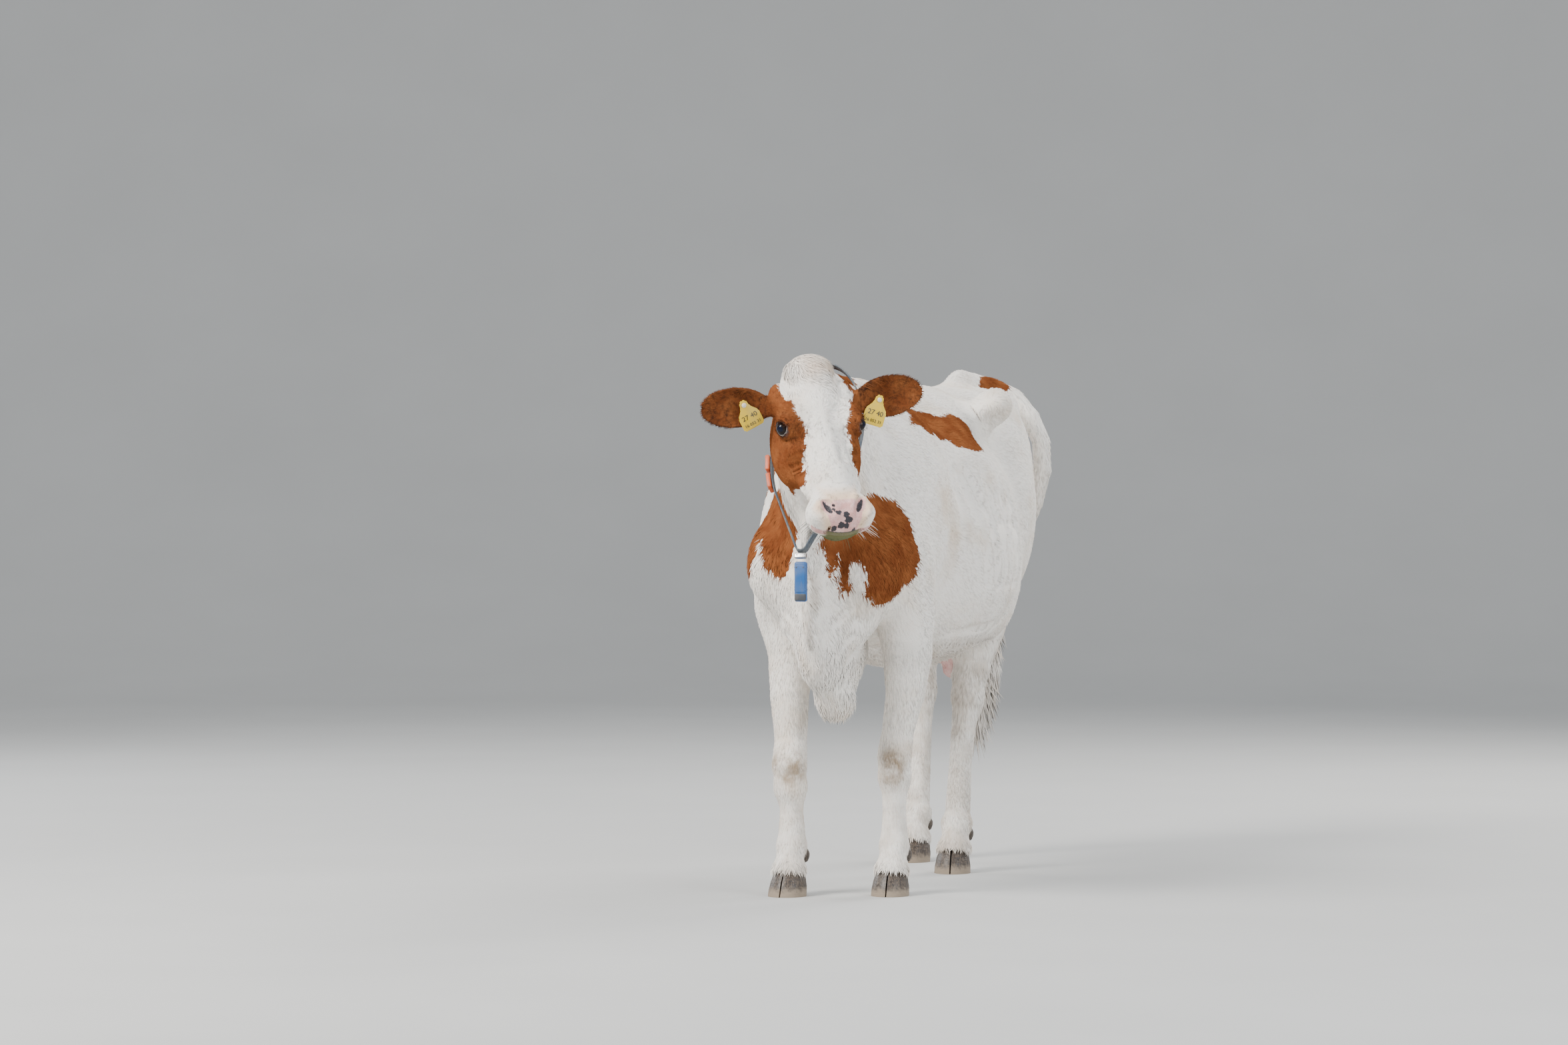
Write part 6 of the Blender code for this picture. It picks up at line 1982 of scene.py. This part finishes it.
def make_long_hair(table, material):
    """Topknot, ear fringes, tail switch, and the longer hair of brisket, belly and fetlocks."""
    x, y, z = table["middles"].T
    normals = unit(table["normals"][table["corners"]].sum(axis=1))
    local = local_to(HEAD, table["middles"])
    poll = head_amount(table["middles"]) * smoothstep(-0.085, -0.035, local[:, 1])
    poll = poll * smoothstep(-0.055, -0.020, local[:, 2]) * (np.abs(local[:, 0]) < 0.062)
    locks_where("topknot", table, poll, material, over_the_brow)
    for side in EARS:
        make_ear_hair(side, table, material)
    switch = smoothstep(1.29, 1.305, y) * smoothstep(0.72, 0.62, z)
    locks_where("tail_switch", table, switch, material, hanging)
    lobe = smoothstep(0.70, 0.60, z) * (y < 0.02) * (np.abs(x) < 0.075) * (z > 0.42)
    locks_where("brisket", table, lobe, material)
    fetlocks = smoothstep(0.035, 0.0, np.abs(z - 0.105)) * (normals[:, 1] > 0.25)
    coronets = smoothstep(0.100, 0.080, z) * (normals[:, 2] > -0.6)
    locks_where("fetlocks", table, np.maximum(fetlocks, coronets), material)
    belly = 1.0 * (z < 0.64) * (y > 0.30) * (y < 0.86) * (z > 0.54) * (normals[:, 2] < -0.5)
    locks_where("belly", table, belly, material)


def make_whiskers(table, material):
    """Stiff pale whiskers round the lips and chin."""
    rng = np.random.default_rng(81)
    roots, ways = [], []
    for _ in range(WHISKERS):
        angle = rng.uniform(-0.15 * pi, 1.15 * pi)
        back = rng.uniform(0.0, 0.05)
        x = 0.062 * cos(angle) * (1.0 + 0.1 * rng.random())
        z = -0.098 - 0.030 * sin(angle)
        way = Vector((0.9 * cos(angle), -0.35, -0.5 - 0.3 * sin(angle))).normalized()
        roots.append(HEAD @ Vector((x, -0.462 + back, z)))
        ways.append(HEAD.to_3x3() @ way)
    roots, ways = np.array(roots), unit(np.array(ways))
    roots = settled(roots, whole_body(), rounds=4, reach=0.02)
    normals = unit(np.cross(ways, np.array((0.3, 0.2, 0.9))))
    lengths = rng.uniform(0.018, 0.042, len(roots))
    widths = np.full(len(roots), 0.0006)
    arrays = lock_arrays(roots, normals, ways, lengths, widths, lengths * 0.12, 0.12)
    coat_piece("hair_whiskers", arrays, roots, places_near(table, roots), material, rng)


# ================ studio

def floor_material():
    material, tree, shader = new_material("pale_floor")
    place = object_place(tree)
    mottled = noise(place, 1.6, 4.0)
    finish(shader, mixed(mottled, (0.46, 0.46, 0.45), (0.51, 0.51, 0.50)), 0.85)
    bumped(shader, noise(place, 220.0, 3.0), 0.0004, 0.3)
    return material


def make_floor():
    """A pale floor that curves up far behind the cow."""
    shape = bmesh.new()
    profile = [(-14.0, 0.0), (9.0, 0.0)]
    for step in range(1, 15):
        angle = 0.5 * pi * step / 14
        profile.append((9.0 + 5.0 * sin(angle), 5.0 - 5.0 * cos(angle)))
    profile.append((14.0, 14.0))
    rows = [[shape.verts.new((x, y, z)) for x in (-16.0, 16.0)] for y, z in profile]
    for first, second in zip(rows, rows[1:]):
        shape.faces.new((first[0], first[1], second[1], second[0]))
    floor = linked("studio_floor", mesh_of(shape, "studio_floor"), floor_material())
    floor.matrix_world = Matrix.Rotation(radians(CAMERA_TURN), 4, "Z")


def area_light(name, place, target, size, power, colour):
    light = bpy.data.lights.new(name, "AREA")
    light.shape = "DISK"
    light.size = size
    light.energy = power
    light.color = colour
    obj = bpy.data.objects.new(name, light)
    bpy.context.scene.collection.objects.link(obj)
    obj.location = place
    obj.rotation_euler = (Vector(target) - Vector(place)).to_track_quat("-Z", "Y").to_euler()


def make_lights():
    middle = (0.0, 0.0, 0.8)
    area_light("key", (-3.2, -4.6, 5.2), middle, 3.0, 760.0, (1.0, 0.97, 0.93))
    area_light("fill", (5.2, -3.4, 2.6), middle, 4.0, 240.0, (0.92, 0.96, 1.0))
    area_light("back", (2.0, 5.0, 4.2), middle, 3.0, 340.0, (1.0, 0.98, 0.95))
    area_light("left_side", (-5.5, 2.5, 3.0), middle, 3.5, 150.0, (0.95, 0.97, 1.0))
    world = bpy.data.worlds.new("studio")
    world.use_nodes = True
    feed(world.node_tree.nodes["Background"].inputs["Color"], (0.86, 0.90, 0.95, 1.0))
    feed(world.node_tree.nodes["Background"].inputs["Strength"], 0.80)
    bpy.context.scene.world = world


def make_camera():
    """A long lens at the cow's own height, a little to its left."""
    angle = radians(CAMERA_TURN)
    ahead = Vector((-sin(angle), cos(angle), 0.0))
    aside = Vector((cos(angle), sin(angle), 0.0))
    camera = bpy.data.cameras.new("camera")
    camera.lens = CAMERA_LENS
    camera.sensor_width = 36.0
    camera.clip_end = 100.0
    obj = bpy.data.objects.new("camera", camera)
    bpy.context.scene.collection.objects.link(obj)
    obj.location = SHIFT - CAMERA_DISTANCE * ahead - CAMERA_ASIDE * aside + Vector((0, 0, CAMERA_HEIGHT))
    obj.rotation_euler = (pi / 2 - radians(CAMERA_PITCH), 0.0, angle)
    bpy.context.scene.camera = obj


# ================ putting it together

def main():
    make_camera()
    make_floor()
    make_lights()
    skin = make_skin()
    skin.data.materials.clear()
    skin.data.materials.append(skin_material())
    skin.data.shade_smooth()
    placed(skin, "hide", *FLESH)
    hair = coat_material()
    table = make_coat(skin, hair)
    make_long_hair(table, hair)
    make_whiskers(table, hair)
    eyes = eye_material()
    rng = np.random.default_rng(SEED + 1)
    for side in ("left", "right"):
        make_eye(side, eyes)
        make_lashes(side, table, hair, rng)
    make_feet(horn_material())
    make_collar(whole_body())
    make_tags()


main()
